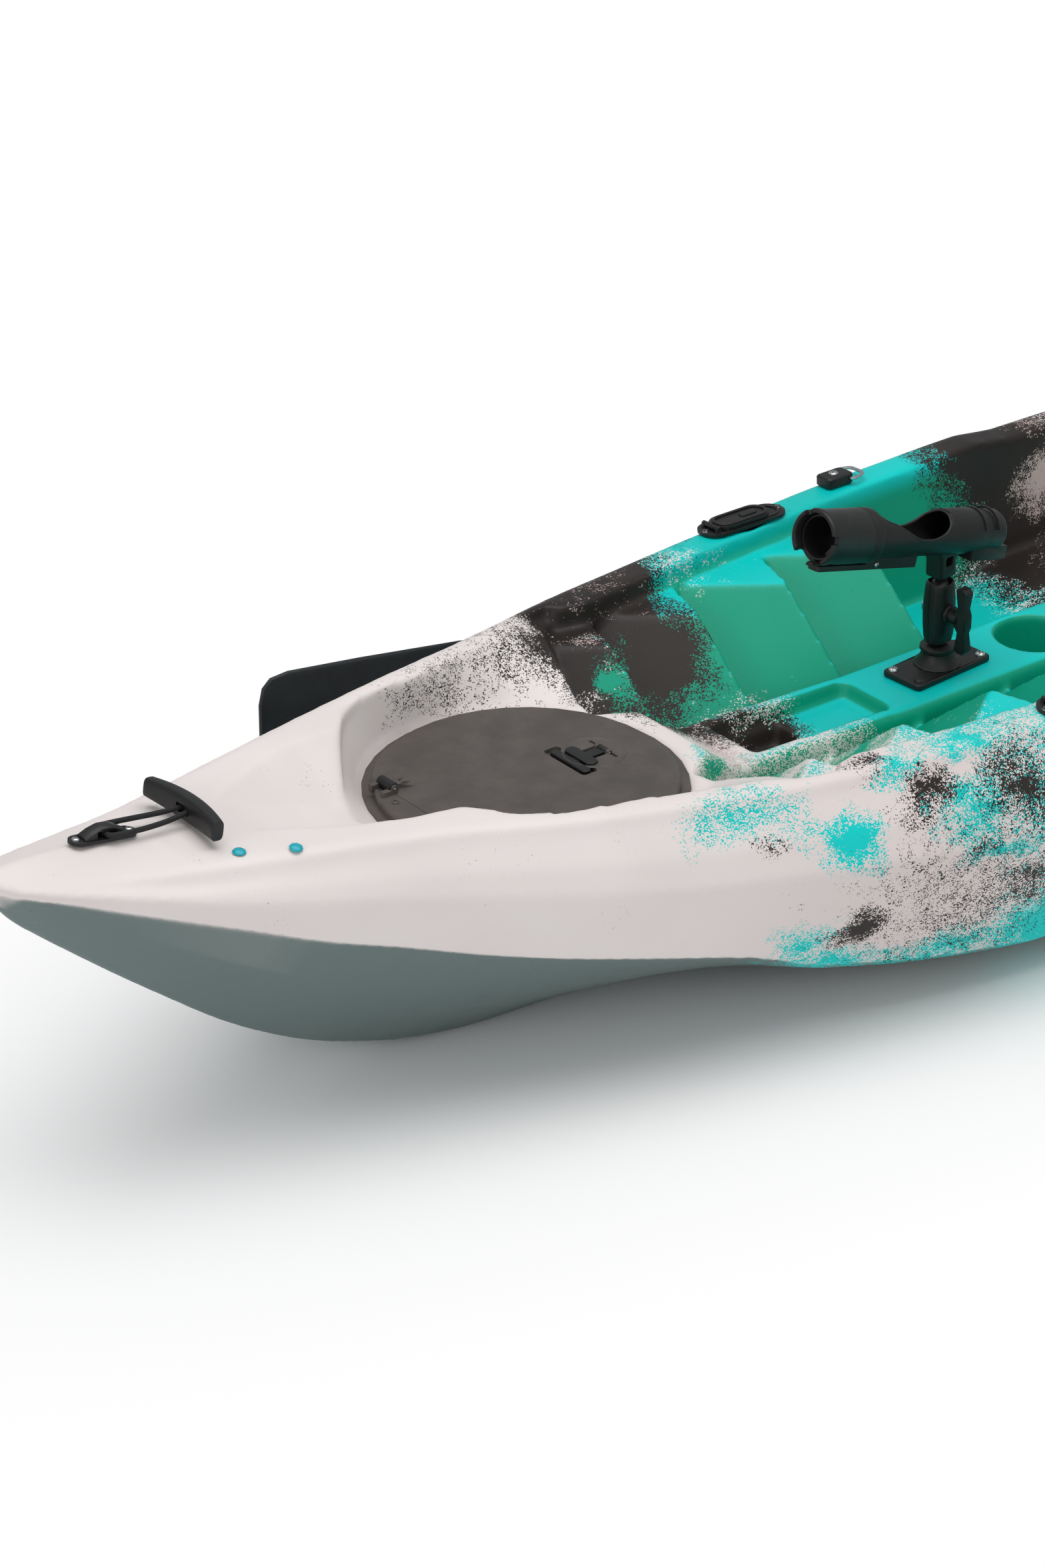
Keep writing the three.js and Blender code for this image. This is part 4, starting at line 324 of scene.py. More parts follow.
FINISHES = {
    "hull_polyethylene": blended_plastic(),
    "fitting_plastic": moulded("black_fitting_plastic", (9, 9, 10), (20, 20, 20), 0.46, 520, 0.25),
    "hatch_plastic": moulded("grey_brown_hatch_plastic", (70, 64, 60), (88, 81, 76), 0.5, 420, 0.3),
    "rubber": moulded("black_rubber", (11, 11, 11), (20, 20, 20), 0.7, 700, 0.2),
    "cord_fibre": braided("black_cord_cover", tint(14, 14, 15), tint(38, 38, 40)),
    "stainless_steel": metal("brushed_stainless", tint(205, 207, 209), 0.26, (1, 1, 0.05)),
    "tinted_plastic": moulded("turquoise_screw_plastic", (0, 150, 168), (20, 190, 200), 0.3, 500, 0.1),
    "shaft_aluminium": metal("dark_anodised_shaft", tint(40, 42, 45), 0.34, (0.04, 1, 1)),
    "blade_plastic": moulded("dark_blade_plastic", (17, 24, 27), (30, 38, 41), 0.45, 300, 0.2),
}
SLOTS = {entry["node"]: entry["material_slot"] for entry in frame["record"]["subparts"]}


# Modelling tools

def piece_from(body, name):
    """A bmesh made into an object in the scene."""
    mesh = bpy.data.meshes.new(name)
    body.to_mesh(mesh)
    body.free()
    return linked(name, mesh)


def placed(body, name, place):
    """A body with its faces outward, in its place."""
    ops.recalc_face_normals(body, faces=body.faces)
    ops.transform(body, matrix=place, verts=body.verts)
    return piece_from(body, name)


def shown_mesh(piece):
    """The mesh that an object shows."""
    bpy.context.view_layer.update()
    shown = piece.evaluated_get(bpy.context.evaluated_depsgraph_get())
    return bpy.data.meshes.new_from_object(shown)


def settle(piece):
    """Makes a piece's modifiers part of its mesh."""
    mesh = shown_mesh(piece)
    piece.modifiers.clear()
    piece.data = mesh
    return piece


def combine(piece, others, operation):
    """Cuts other bodies from a piece, or adds them to it, and removes them."""
    group = bpy.data.collections.new("tools")
    for other in others:
        group.objects.link(other)
    change = piece.modifiers.new(operation.lower(), "BOOLEAN")
    change.operation = operation
    change.solver = "EXACT"
    change.operand_type = "COLLECTION"
    change.collection = group
    settle(piece)
    for other in others:
        bpy.data.objects.remove(other)
    bpy.data.collections.remove(group)
    return piece


def cut(piece, *tools):
    return combine(piece, tools, "DIFFERENCE")


def join(piece, *parts):
    return combine(piece, parts, "UNION")


def dress(piece, slot, body, nodes=(), sharp=40):
    """Gives a finished piece its shading, its finish and its place in the kayak."""
    for face in piece.data.polygons:
        face.use_smooth = True
    piece.data.set_sharp_from_angle(angle=radians(sharp))
    piece.data.materials.clear()
    piece.data.materials.append(FINISHES[slot])
    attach(piece, body)
    if nodes:
        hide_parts(*nodes)
    return piece


def fitting(piece, width, steps, body, node):
    """Rounds a black fitting's edges and dresses it."""
    return dress(soften(piece, width, steps), "fitting_plastic", body, [node])


def cut_away(body, point, out):
    """Clears what lies beyond a plane and closes the cut."""
    everything = body.verts[:] + body.edges[:] + body.faces[:]
    ops.bisect_plane(body, geom=everything, plane_co=point, plane_no=out, clear_outer=True)
    ops.holes_fill(body, edges=[edge for edge in body.edges if edge.is_boundary])


def bulged(value, power):
    """A power of a value that keeps its sign."""
    return copysign(abs(value) ** power, value)


def loft(name, rings, place=None):
    """A closed body through rings of points, in a fitting's place if it has one."""
    if place is not None:
        rings = [[tuple(place @ Vector(point)) for point in ring] for ring in rings]
    body = bmesh.new()
    order = {body.verts.new(point): i for i, point in enumerate(rings[0])}
    face = body.faces.new(list(order))
    for step, ring in enumerate(rings[1:]):
        spot = {tuple(vert.co): i for vert, i in order.items()}
        pulled = ops.extrude_face_region(body, geom=[face])["geom"]
        if step:
            ops.delete(body, geom=[face], context="FACES_ONLY")
        face = [item for item in pulled if isinstance(item, bmesh.types.BMFace)][0]
        order = {vert: spot[tuple(vert.co)] for vert in face.verts}
        for vert, i in order.items():
            vert.co = ring[i]
    ops.recalc_face_normals(body, faces=body.faces)
    return piece_from(body, name)


def rod(name, radius, start, end, sides=48):
    """A round bar between two points."""
    start, end = Vector(start), Vector(end)
    span = end - start
    body = bmesh.new()
    ops.create_cone(body, cap_ends=True, segments=sides, radius1=radius, radius2=radius, depth=span.length)
    turn = span.to_track_quat("Z", "Y").to_matrix().to_4x4()
    ops.transform(body, matrix=Matrix.Translation((start + end) / 2) @ turn, verts=body.verts)
    return piece_from(body, name)


# Hull: shares of its length aft of the bow, and shares of its half beam and depth

HULL_NODES = [name for name in frame["nodes"] if name.startswith(("hull_", "deck_"))]

LENGTH = 3.5
HALF_BEAM = 0.395
DEPTH = 0.317
KEEL_HEIGHT = [
    (0, 1.18), (0.003, 1.115), (0.008, 1.045), (0.022, 0.905), (0.058, 0.574), (0.091, 0.303),
    (0.121, 0.132), (0.153, 0.03), (0.183, 0), (0.8, 0), (0.85, 0.03), (0.9, 0.15), (0.94, 0.37),
    (0.968, 0.62), (0.988, 0.86), (1, 1)]
KEEL_HALF = [
    (0, 0.015), (0.05, 0.02), (0.13, 0.04), (0.19, 0.085), (0.25, 0.105), (0.8, 0.105), (0.92, 0.04),
    (1, 0.02)]
GUNWALE_HALF = [
    (0, 0.03), (0.007, 0.085), (0.023, 0.14), (0.069, 0.25), (0.134, 0.405), (0.19, 0.557), (0.237, 0.655),
    (0.268, 0.719), (0.298, 0.765), (0.355, 0.823), (0.421, 0.873), (0.486, 0.891), (0.585, 0.886),
    (0.686, 0.85), (0.771, 0.78), (0.843, 0.68), (0.9, 0.55), (0.943, 0.42), (0.977, 0.27), (0.994, 0.15),
    (1, 0.06)]
GUNWALE_HEIGHT = [
    (0, 1.222), (0.023, 1.196), (0.069, 1.155), (0.134, 1.117), (0.186, 1.063), (0.236, 1.025),
    (0.266, 1.012), (0.32, 1), (0.483, 1), (0.498, 0.974), (0.66, 0.966), (0.743, 0.978), (0.829, 1.01),
    (0.914, 1.06), (1, 1.12)]
CROWN = [
    (0, 0.03), (0.017, 0.05), (0.036, 0.05), (0.071, 0.022), (0.095, 0), (0.88, 0), (0.93, 0.02),
    (0.97, 0.03), (1, 0.012)]
CREASE_HALF = [
    (0, 0.038), (0.007, 0.105), (0.028, 0.188), (0.051, 0.256), (0.074, 0.32), (0.097, 0.385),
    (0.119, 0.443), (0.159, 0.56), (0.2, 0.684), (0.244, 0.79), (0.289, 0.894), (0.336, 0.952),
    (0.414, 0.99), (0.486, 1), (0.586, 0.998), (0.686, 0.957), (0.771, 0.876), (0.843, 0.76), (0.9, 0.615),
    (0.943, 0.466), (0.977, 0.304), (0.994, 0.175), (1, 0.07)]
CREASE_HEIGHT = [
    (0, 1.222), (0.028, 1.155), (0.074, 1.025), (0.119, 0.94), (0.159, 0.858), (0.2, 0.79), (0.244, 0.738),
    (0.289, 0.707), (0.336, 0.666), (0.414, 0.65), (0.586, 0.643), (0.686, 0.656), (0.771, 0.68),
    (0.843, 0.72), (0.9, 0.776), (0.943, 0.84), (0.977, 0.915), (1, 1)]
CHINE_HALF = [
    (0, 0.034), (0.007, 0.1), (0.028, 0.18), (0.051, 0.245), (0.074, 0.308), (0.097, 0.37), (0.119, 0.423),
    (0.149, 0.504), (0.173, 0.57), (0.198, 0.632), (0.235, 0.704), (0.264, 0.73), (0.297, 0.81),
    (0.322, 0.852), (0.346, 0.88), (0.42, 0.915), (0.5, 0.925), (0.6, 0.92), (0.686, 0.885), (0.771, 0.805),
    (0.843, 0.69), (0.9, 0.552), (0.943, 0.412), (0.977, 0.263), (0.994, 0.152), (1, 0.06)]
CHINE_HEIGHT = [
    (0, 1.205), (0.011, 1.175), (0.028, 1.11), (0.051, 1.016), (0.074, 0.924), (0.097, 0.827),
    (0.119, 0.75), (0.149, 0.64), (0.173, 0.567), (0.198, 0.5), (0.235, 0.397), (0.264, 0.265),
    (0.297, 0.21), (0.346, 0.155), (0.43, 0.135), (0.6, 0.135), (0.686, 0.15), (0.771, 0.19),
    (0.843, 0.285), (0.9, 0.42), (0.943, 0.58), (0.977, 0.76), (1, 0.95)]
HULL_LINES = ((KEEL_HALF, KEEL_HEIGHT), (CHINE_HALF, CHINE_HEIGHT), (CREASE_HALF, CREASE_HEIGHT),
              (GUNWALE_HALF, GUNWALE_HEIGHT))
PONTOON = [(0, 0), (0.25, 0), (0.29, 0.4), (0.4, 1), (0.72, 1), (0.86, 0), (1, 0)]
VALLEY = [(0.0571, 1.278), (0.0829, 1.17), (0.1, 1.091), (0.12, 1), (0.1366, 0.95), (0.16, 0.915)]
RECESS_FLOOR = [
    (0.1509, 0), (0.152, 0.101), (0.1549, 0.182), (0.1626, 0.299), (0.1743, 0.397), (0.1889, 0.463),
    (0.2057, 0.486), (0.2243, 0.466), (0.2429, 0.385), (0.2586, 0.299), (0.2686, 0.243), (0.2749, 0.203)]
RECESS_CREST = [
    (0.136, 0, 0.95), (0.1394, 0.081, 0.953), (0.1457, 0.16, 0.965), (0.1551, 0.285, 1.005),
    (0.1677, 0.402, 1.03), (0.1843, 0.466, 1.036), (0.204, 0.492, 1.035), (0.2243, 0.54, 1.035),
    (0.2429, 0.6, 1.035), (0.2586, 0.648, 1.009), (0.2686, 0.663, 0.959), (0.2749, 0.668, 0.959)]
FOOTWELL_FRONT = [
    (0.2523, 0), (0.2526, 0.243), (0.2549, 0.329), (0.2586, 0.435), (0.2643, 0.562), (0.2714, 0.643)]
COCKPIT_SIDES = [0.285, 0.315, 0.36, 0.42, 0.483, 0.498, 0.56, 0.62]
COCKPIT_BACK = [(0.634, 0.52), (0.6371, 0.4), (0.6371, 0)]
CONSOLE = [
    (0.2457, 0.845, 0.248), (0.2523, 0.845, 0.246), (0.26, 0.845, 0.213), (0.2671, 0.839, 0.182),
    (0.2743, 0.776, 0.167), (0.2829, 0.722, 0.162), (0.3057, 0.713, 0.162), (0.3571, 0.691, 0.162),
    (0.4457, 0.691, 0.162), (0.4643, 0.685, 0.157), (0.4757, 0.599, 0.147), (0.4857, 0.473, 0.132)]
SEAT_RISE = [
    (0.4457, 0.404), (0.4686, 0.423), (0.4857, 0.479), (0.56, 0.498), (0.6257, 0.53), (0.6571, 0.53)]
TEETH = [0.2831, 0.3223, 0.3623, 0.402]
HATCH_X = LENGTH * (0.5 - 0.2057)
CONSOLE_TOP = DEPTH * 0.691
COCKPIT_FLOOR = 0.134
COCKPIT_INSET = 0.052
BAR_CURVE = 0.008
VALLEY_HALF = 0.04
SCUPPERS = ((0.448, 0.32), (0.59, 0.42), (0.745, 0.3))
HATCH_FLOOR = 0.268
TANK_FLOOR = 0.19
TANK_ENDS = (0.686, 0.88)
TANK_INSET = 0.058
TANK_CORNER = 0.029
CUP_RADIUS = 0.0485
LEDGE_RADIUS = 0.189
HOLD_RADIUS = 0.158
FLUSH_LEAN = radians(35)
FLUSH_RADIUS = 0.0185
BRACE_BEND = 0.18
BRACE_OVERLAP = 0.03
MESH_SIZE = 0.005
SMOOTH_PASSES = 5
HULL_PARTS = (("hull_bow_part", 2, 0.45), ("hull_middle_part", 0.45, -0.55), ("hull_stern_part", -0.55, -2))


def along(table, station):
    """A smooth curve through a table of rows, that never swings past its own points."""
    if station <= table[0][0]:
        return table[0][1]
    if station >= table[-1][0]:
        return table[-1][1]
    slopes = [(b[1] - a[1]) / (b[0] - a[0]) for a, b in zip(table, table[1:])]

    def tangent(i):
        if i in (0, len(table) - 1):
            return slopes[0 if i == 0 else -1]
        product = slopes[i - 1] * slopes[i]
        return 0 if product <= 0 else 2 * product / (slopes[i - 1] + slopes[i])

    row = next(i for i in range(len(table) - 1) if table[i + 1][0] >= station)
    span = table[row + 1][0] - table[row][0]
    t = (station - table[row][0]) / span
    rise = t * t * (3 - 2 * t)
    start = t * (1 - t) ** 2 * span * tangent(row)
    end = t * t * (t - 1) * span * tangent(row + 1)
    return table[row][1] + rise * (table[row + 1][1] - table[row][1]) + start + end


def at(station):
    return LENGTH * (0.5 - station)


def gunwale(station):
    return HALF_BEAM * along(GUNWALE_HALF, station)


def hull_ring(station):
    """The hull's outline at a station: keel, side, crease, gunwale, deck and back down the other side."""
    (keel_y, keel_z), (chine_y, chine_z), (crease_y, crease_z), (top_y, top_z) = (
        (HALF_BEAM * along(half, station), DEPTH * along(height, station)) for half, height in HULL_LINES)
    flat = along(PONTOON, station)
    curve = min(0.016, top_y * 0.3, (top_z - crease_z) * 0.55)
    half = [(0, keel_z), (keel_y, keel_z)]
    for share, low in ((0.34, 0.12), (0.52, 0.004), (0.68, 0.004)):
        vee = keel_z + (chine_z - keel_z) * share ** 1.35
        height = vee + (DEPTH * low + keel_z - vee) * flat
        half.append((max(chine_y * share, keel_y * 1.02), height))
    half += [
        (chine_y, chine_z),
        ((chine_y + crease_y) / 2 + (crease_y - chine_y) * 0.12, (chine_z + crease_z) / 2),
        (crease_y, crease_z),
        ((crease_y + top_y) / 2 + (crease_y - top_y) * 0.14, (crease_z + top_z - curve) / 2),
        (top_y, top_z - curve), (top_y - curve * 0.3, top_z - curve * 0.3), (top_y - curve, top_z),
        (0, top_z + DEPTH * along(CROWN, station))]
    whole = half + [(-y, z) for y, z in reversed(half[1:-1])]
    return [(at(station), y, z) for y, z in whole]


def spots(rows):
    """Places in plan from rows of station and share of the half beam."""
    return [(at(station), HALF_BEAM * share) for station, share in rows]


def both_sides(half):
    """A whole plan from its port half."""
    return [(x, -y) for x, y in reversed(half) if y > 0] + half


def shifted(plan, distance):
    """A closed plan moved outward, or inward by a negative distance."""
    moved = []
    for i, here in enumerate(plan):
        before, after = Vector(plan[i - 1]), Vector(plan[(i + 1) % len(plan)])
        first, second = (Vector(here) - before).normalized(), (after - Vector(here)).normalized()
        out = Vector((first.y + second.y, -first.x - second.x)).normalized()
        reach = max(out.dot(Vector((first.y, -first.x))), 0.5)
        moved.append(tuple(Vector(here) + out * distance / reach))
    return moved


def well(name, plan, floor, rim, draft=0.0):
    """A body that sinks a well: its plan at the rim, drawn in at the floor."""
    low = shifted(plan, -draft)
    rings = [[(x, y, floor) for x, y in low], [(x, y, rim) for x, y in plan],
             [(x, y, rim + DEPTH) for x, y in plan]]
    return loft(name, rings)


def bar(name, rows, low, flare, curve):
    """A bar along the hull. Rows are station, height and half width."""
    rings = []
    for station, height, half in rows:
        top, side = DEPTH * height, HALF_BEAM * half
        rings.append([(at(station), y, z) for y, z in (
            (-side - flare, low), (side + flare, low), (side, top - curve), (side - curve, top),
            (curve - side, top), (-side, top - curve))])
    return loft(name, rings)


def box_plan(front, back, half):
    return [(at(front), -half), (at(front), half), (at(back), half), (at(back), -half)]


def round_plan(x, radius, sides=64):
    return [(x + radius * cos(tau * i / sides), radius * sin(tau * i / sides)) for i in range(sides)]


def foot_brace(crest, side):
    """One saw tooth: a sloping face ahead of an upright one, swept back outboard."""
    x = at(crest)
    reach = LENGTH * (TEETH[1] - TEETH[0]) + BRACE_OVERLAP
    middle = Matrix.Translation((x + reach / 2 - BRACE_OVERLAP, HALF_BEAM / 2, 0.197))
    size = Matrix.Diagonal((reach, HALF_BEAM, 0.186, 1))
    bend = (x, BRACE_BEND, 0)
    halves = []
    for planes in ([((x, 0, 0), (-1, 0, 0))], [(bend, (-1, -0.27, 0)), (bend, (0, -1, 0))]):
        body = bmesh.new()
        ops.create_cube(body, size=1)
        ops.transform(body, matrix=middle @ size, verts=body.verts)
        for point, out in planes + [((x, BRACE_BEND, 0.29), (0.577, -0.806, 1))]:
            cut_away(body, point, out)
        if side < 0:
            ops.scale(body, vec=(1, -1, 1), verts=body.verts)
        ops.recalc_face_normals(body, faces=body.faces)
        halves.append(piece_from(body, "foot_brace"))
    return join(*halves)


def cockpit_well():
    """Footwells and seat well, less the console, the seat's rise and the foot braces."""
    sides = [(at(station), gunwale(station) - COCKPIT_INSET) for station in COCKPIT_SIDES]
    half = spots(FOOTWELL_FRONT) + sides + spots(COCKPIT_BACK)
    hollow = well("cockpit", both_sides(half), COCKPIT_FLOOR, DEPTH, 0.016)
    return cut(hollow, bar("console", CONSOLE, 0, 0.01, BAR_CURVE),
               bar("seat_rise", [(s, h, 1) for s, h in SEAT_RISE], 0, 0, BAR_CURVE),
               *(foot_brace(crest, side) for crest in TEETH for side in (1, -1)))


def hatch_recess():
    """From its level floor to its crest in the deck."""
    steps = [i / 36 * (len(RECESS_CREST) - 1) for i in range(37)]

    def smooth(table, column):
        return [along([(i, row[column]) for i, row in enumerate(table)], step) for step in steps]

    floor, crest = (both_sides(spots(zip(smooth(table, 0), smooth(table, 1))))
                    for table in (RECESS_FLOOR, RECESS_CREST))
    half_heights = [DEPTH * height for height in smooth(RECESS_CREST, 2)]
    heights = half_heights[:0:-1] + half_heights
    rings = [[(x, y, HATCH_FLOOR) for x, y in floor], [(x, y, z) for (x, y), z in zip(crest, heights)],
             [(x, y, DEPTH * 2) for x, y in crest]]
    return loft("hatch_recess", rings)


def tank_well():
    shares = [TANK_ENDS[0] + (TANK_ENDS[1] - TANK_ENDS[0]) * i / 6 for i in range(7)]
    rows = [(at(share), gunwale(share) - TANK_INSET) for share in shares]
    fore, aft = rows[0], rows[-1]
    half = ([(fore[0] + TANK_CORNER, 0), (fore[0] + TANK_CORNER, fore[1] * 0.8)] + rows
            + [(aft[0] - TANK_CORNER, aft[1] * 0.8), (aft[0] - TANK_CORNER, 0)])
    return well("tank_well", both_sides(half), TANK_FLOOR, DEPTH, 0.014)


def valley():
    rings = []
    for station, height in VALLEY:
        floor = DEPTH * height
        rim = VALLEY_HALF + DEPTH * 1.4
        rings.append([(at(station), y, z) for y, z in (
            (-VALLEY_HALF, floor), (VALLEY_HALF, floor), (rim, floor + DEPTH), (-rim, floor + DEPTH))])
    return loft("valley", rings)


def flush_hole(place):
    """The hole for a gunwale rod tube, which leans below level toward the bow."""
    lean = Vector((cos(FLUSH_LEAN), 0, -sin(FLUSH_LEAN)))
    start = Vector(place) - Vector((0.008, 0, 0))
    return rod("flush_hole", FLUSH_RADIUS, start - lean * 0.044, start + lean * 0.17)


FLUSH_PLACES = {
    "port_fore": (0.455, 0.30333, 0.31812), "starboard_fore": (0.455, -0.30333, 0.31812),
    "port_aft": (-0.567, 0.31337, 0.30761), "starboard_aft": (-0.567, -0.31337, 0.30761)}


def make_hull():
    """The hull with its wells sunk, meshed evenly and parted in three."""
    stations = sorted({i / 110 for i in range(111)} | {0.003, 0.006, 0.012, 0.994, 0.997})
    hull = loft("kayak_hull", [hull_ring(station) for station in reversed(stations)])
    tools = [
        valley(), hatch_recess(), well("ledge", round_plan(HATCH_X, LEDGE_RADIUS), 0.26, HATCH_FLOOR),
        cockpit_well(), tank_well(),
        *(well(name, plan, floor, CONSOLE_TOP, 0.004) for name, plan, floor in (
            ("tray", box_plan(0.293, 0.354, 0.043), 0.201),
            ("tray_deep", box_plan(0.293, 0.322, 0.035), 0.176),
            ("cup", round_plan(at(0.4317), CUP_RADIUS), 0.15)))]
    for station, half in SCUPPERS:
        for side in (1, -1):
            place = (at(station), side * HALF_BEAM * half)
            tools.append(rod("scupper", 0.014, (*place, -0.1), (*place, 0.5), 32))
    tools += [flush_hole(place) for place in FLUSH_PLACES.values()]
    low = [(x, y, 0.1) for x, y in round_plan(HATCH_X, 0.12)]
    high = [(x, y, 0.4) for x, y in round_plan(HATCH_X, HOLD_RADIUS)]
    tools.append(loft("hold", [low, [(x, y, 0.25) for x, y, z in high], high]))
    cut(hull, *tools)
    grid = hull.modifiers.new("even_mesh", "REMESH")
    grid.mode = "VOXEL"
    grid.voxel_size = MESH_SIZE
    ease = hull.modifiers.new("soft_edges", "SMOOTH")
    ease.factor = 0.5
    ease.iterations = SMOOTH_PASSES
    settle(hull)
    for name, fore, aft in HULL_PARTS:
        body = bmesh.new()
        body.from_mesh(hull.data)
        for x, out in ((fore, 1), (aft, -1)):
            cut_away(body, (x, 0, 0), (out, 0, 0))
        dress(piece_from(body, name), "hull_polyethylene", "hull", HULL_NODES, 65)
    bpy.data.objects.remove(hull)


make_hull()


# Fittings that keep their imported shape, with their edges broken

BODY_OF = {node: name for name, nodes in frame["record"]["behaviour"]["bodies"].items() for node in nodes}


def refine(node, width=0.0008, steps=2, sharp=38):
    """A fitting's own shape, merged and with its edges rounded."""
    body = bmesh.new()
    body.from_mesh(frame["nodes"][node].data)
    ops.remove_doubles(body, verts=body.verts, dist=0.00001)
    ops.dissolve_limit(body, angle_limit=radians(1), verts=body.verts, edges=body.edges)
    made = soften(piece_from(body, node + "_finished"), width, steps, sharp)
    return dress(made, SLOTS[node], BODY_OF[node], [node], sharp)


# Fittings with their finer forms, in millimetres about their own middles

def stood(origin, along, up):
    """Where a fitting stands in the kayak."""
    up = Vector(up).normalized()
    side = up.cross(Vector(along)).normalized()
    turn = Matrix((side.cross(up), side, up)).transposed().to_4x4()
    return Matrix.Translation(Vector(origin) / 1000) @ turn @ Matrix.Scale(0.001, 4)


def moved(x, y, z):
    return Matrix.Translation((x, y, z))


def turned(name, profile, place, sides=64, ring=False):
    """A body turned about its place's upright line, from radii and heights."""
    body = bmesh.new()
    verts = [body.verts.new((radius, 0, height)) for radius, height in profile]
    edges = [body.edges.new(pair) for pair in zip(verts, verts[1:])]
    if ring:
        edges.append(body.edges.new((verts[-1], verts[0])))
    ops.spin(body, geom=verts + edges, cent=(0, 0, 0), axis=(0, 0, 1),
             angle=tau, steps=sides, use_merge=True)
    ops.remove_doubles(body, verts=body.verts, dist=0.001)
    return placed(body, name, place)


def slab(name, outline, low, high, place):
    """A flat body from its outline, between two heights."""
    body = bmesh.new()
    face = body.faces.new([body.verts.new((x, y, low)) for x, y in outline])
    pulled = ops.extrude_face_region(body, geom=[face])["geom"]
    top = [item for item in pulled if isinstance(item, bmesh.types.BMVert)]
    ops.translate(body, vec=(0, 0, high - low), verts=top)
    return placed(body, name, place)


def oblong(length, width, corner, sides=8):
    """The outline of a rectangle with round corners."""
    middles = [(length / 2 - corner, width / 2 - corner), (corner - length / 2, width / 2 - corner),
               (corner - length / 2, corner - width / 2), (length / 2 - corner, corner - width / 2)]
    points = []
    for quarter, (x, y) in enumerate(middles):
        for i in range(sides + 1):
            turn = pi / 2 * (quarter + i / sides)
            points.append((x + corner * cos(turn), y + corner * sin(turn)))
    return points


def wire(name, points, radius, place, closed=False):
    """A round cord or wire through points, with a smooth run between them."""
    line = bpy.data.curves.new(name, "CURVE")
    line.dimensions = "3D"
    line.bevel_depth = radius
    line.bevel_resolution = 6
    line.use_fill_caps = not closed
    run = line.splines.new("NURBS")
    run.points.add(len(points) - 1)
    for knot, point in zip(run.points, points):
        knot.co = (*point, 1)
    run.order_u = 3
    run.resolution_u = 8
    run.use_cyclic_u = closed
    run.use_endpoint_u = not closed
    holder = linked(name, line)
    mesh = shown_mesh(holder)
    bpy.data.objects.remove(holder)
    body = bmesh.new()
    body.from_mesh(mesh)
    ops.remove_doubles(body, verts=body.verts, dist=0.0001)
    return placed(body, name, place)


def soften(piece, width, steps=2, sharp=35):
    """Rounds a piece's sharp edges."""
    edge = piece.modifiers.new("rounded_edges", "BEVEL")
    edge.width = width
    edge.segments = steps
    edge.limit_method = "ANGLE"
    edge.angle_limit = radians(sharp)
    return settle(piece)


def screw_head(name, radius, height, place, slot="stainless_steel", body="hull", nodes=()):
    """A domed head with a cross cut in it."""
    dome = [(0, -height), (radius, -height), (radius, height * 0.25), (radius * 0.8, height * 0.75),
            (radius * 0.4, height), (0, height * 1.06)]
    head = turned(name, dome, place, 32)
    cuts = [slab("cross", oblong(radius * 1.3, radius * 0.26, radius * 0.1, 2), height * 0.35, height * 2,
                 place @ Matrix.Rotation(turn, 4, "Z")) for turn in (0.5, 0.5 + pi / 2)]
    cut(head, *cuts)
    return dress(soften(head, radius * 0.00006, 1), slot, body, nodes)


LEVEL_Y = Matrix.Rotation(pi / 2, 4, "X")
LEVEL_X = Matrix.Rotation(pi / 2, 4, "Y")
OUTWARD_Y = Matrix.Rotation(-pi / 2, 4, "X")
GRIP_HALF = 65
CORD_HALF = ((116, -7, 15), (104, -7, 15), (84, -10, 11), (50, -14, 9), (22, -15, 8.5), (6, -14.5, 8),
             (0, -12, 8), (0, -6, 8))
LOWER_BALL, CLAMP_MIDDLE, UPPER_BALL = 48, 78, 108
SADDLE_EDGE = [(6, 25.4), (10, 19), (18, 10), (30, 3), (46, -1), (62, -1), (80, 4), (98, 12), (112, 18),
               (124, 21), (130, 25.4)]


def carry_handle(end, origin, along, up):
    """Pad eye with its screws, the doubled cord and the bowed grip."""
    place = stood(origin, along, up)
    body = "handle_" + end
    foot = slab("foot", oblong(84, 24, 12), 0.4, 4, place)
    rings = [[(x, y, z) for y, z in (
        (-half, 2), (half, 2), (half, top - 2), (half - 3, top), (3 - half, top), (-half, top - 2))]
        for x, half, top in ((-27, 9, 7), (-16, 9, 13), (-6, 8, 17), (6, 8, 17), (16, 9, 13), (27, 9, 7))]
    join(foot, loft("saddle", rings, place))
    cut(foot, slab("cord_way", oblong(24, 30, 3), 4, 12, place))
    fitting(foot, 0.0011, 3, "hull", "pad_eye_" + end)
    for x in (-34, 34):
        screw_head("pad_eye_screw", 4.6, 2.4, place @ moved(x, 0, 4.4))
    run = [*CORD_HALF, (0, 0, 8), *((x, -y, z) for x, y, z in reversed(CORD_HALF))]
    dress(wire("handle_cord", run, 3.1, place), "cord_fibre", body, ["cord_loop_" + end], 80)
    rings = []
    for i in range(25):
        y = -GRIP_HALF + 2 * GRIP_HALF * i / 24
        share = y / GRIP_HALF
        tall, thick, x = 14.5 - 3.2 * share ** 2, 9.5 - 1.8 * share ** 2, 111 - 8 * share ** 2
        rings.append([(x + thick * bulged(cos(turn), 0.55), y, 16 + tall * bulged(sin(turn), 0.6))
                      for turn in (tau * j / 24 for j in range(24))])
    grip = loft("bowed_grip", rings, place)
    cut(grip, slab("cord_mouth", oblong(30, 22, 4), 10.5, 20.5, place @ moved(92, 0, 0)))
    dress(soften(grip, 0.0016, 3, 50), "fitting_plastic", body, ["t_grip_" + end], 50)


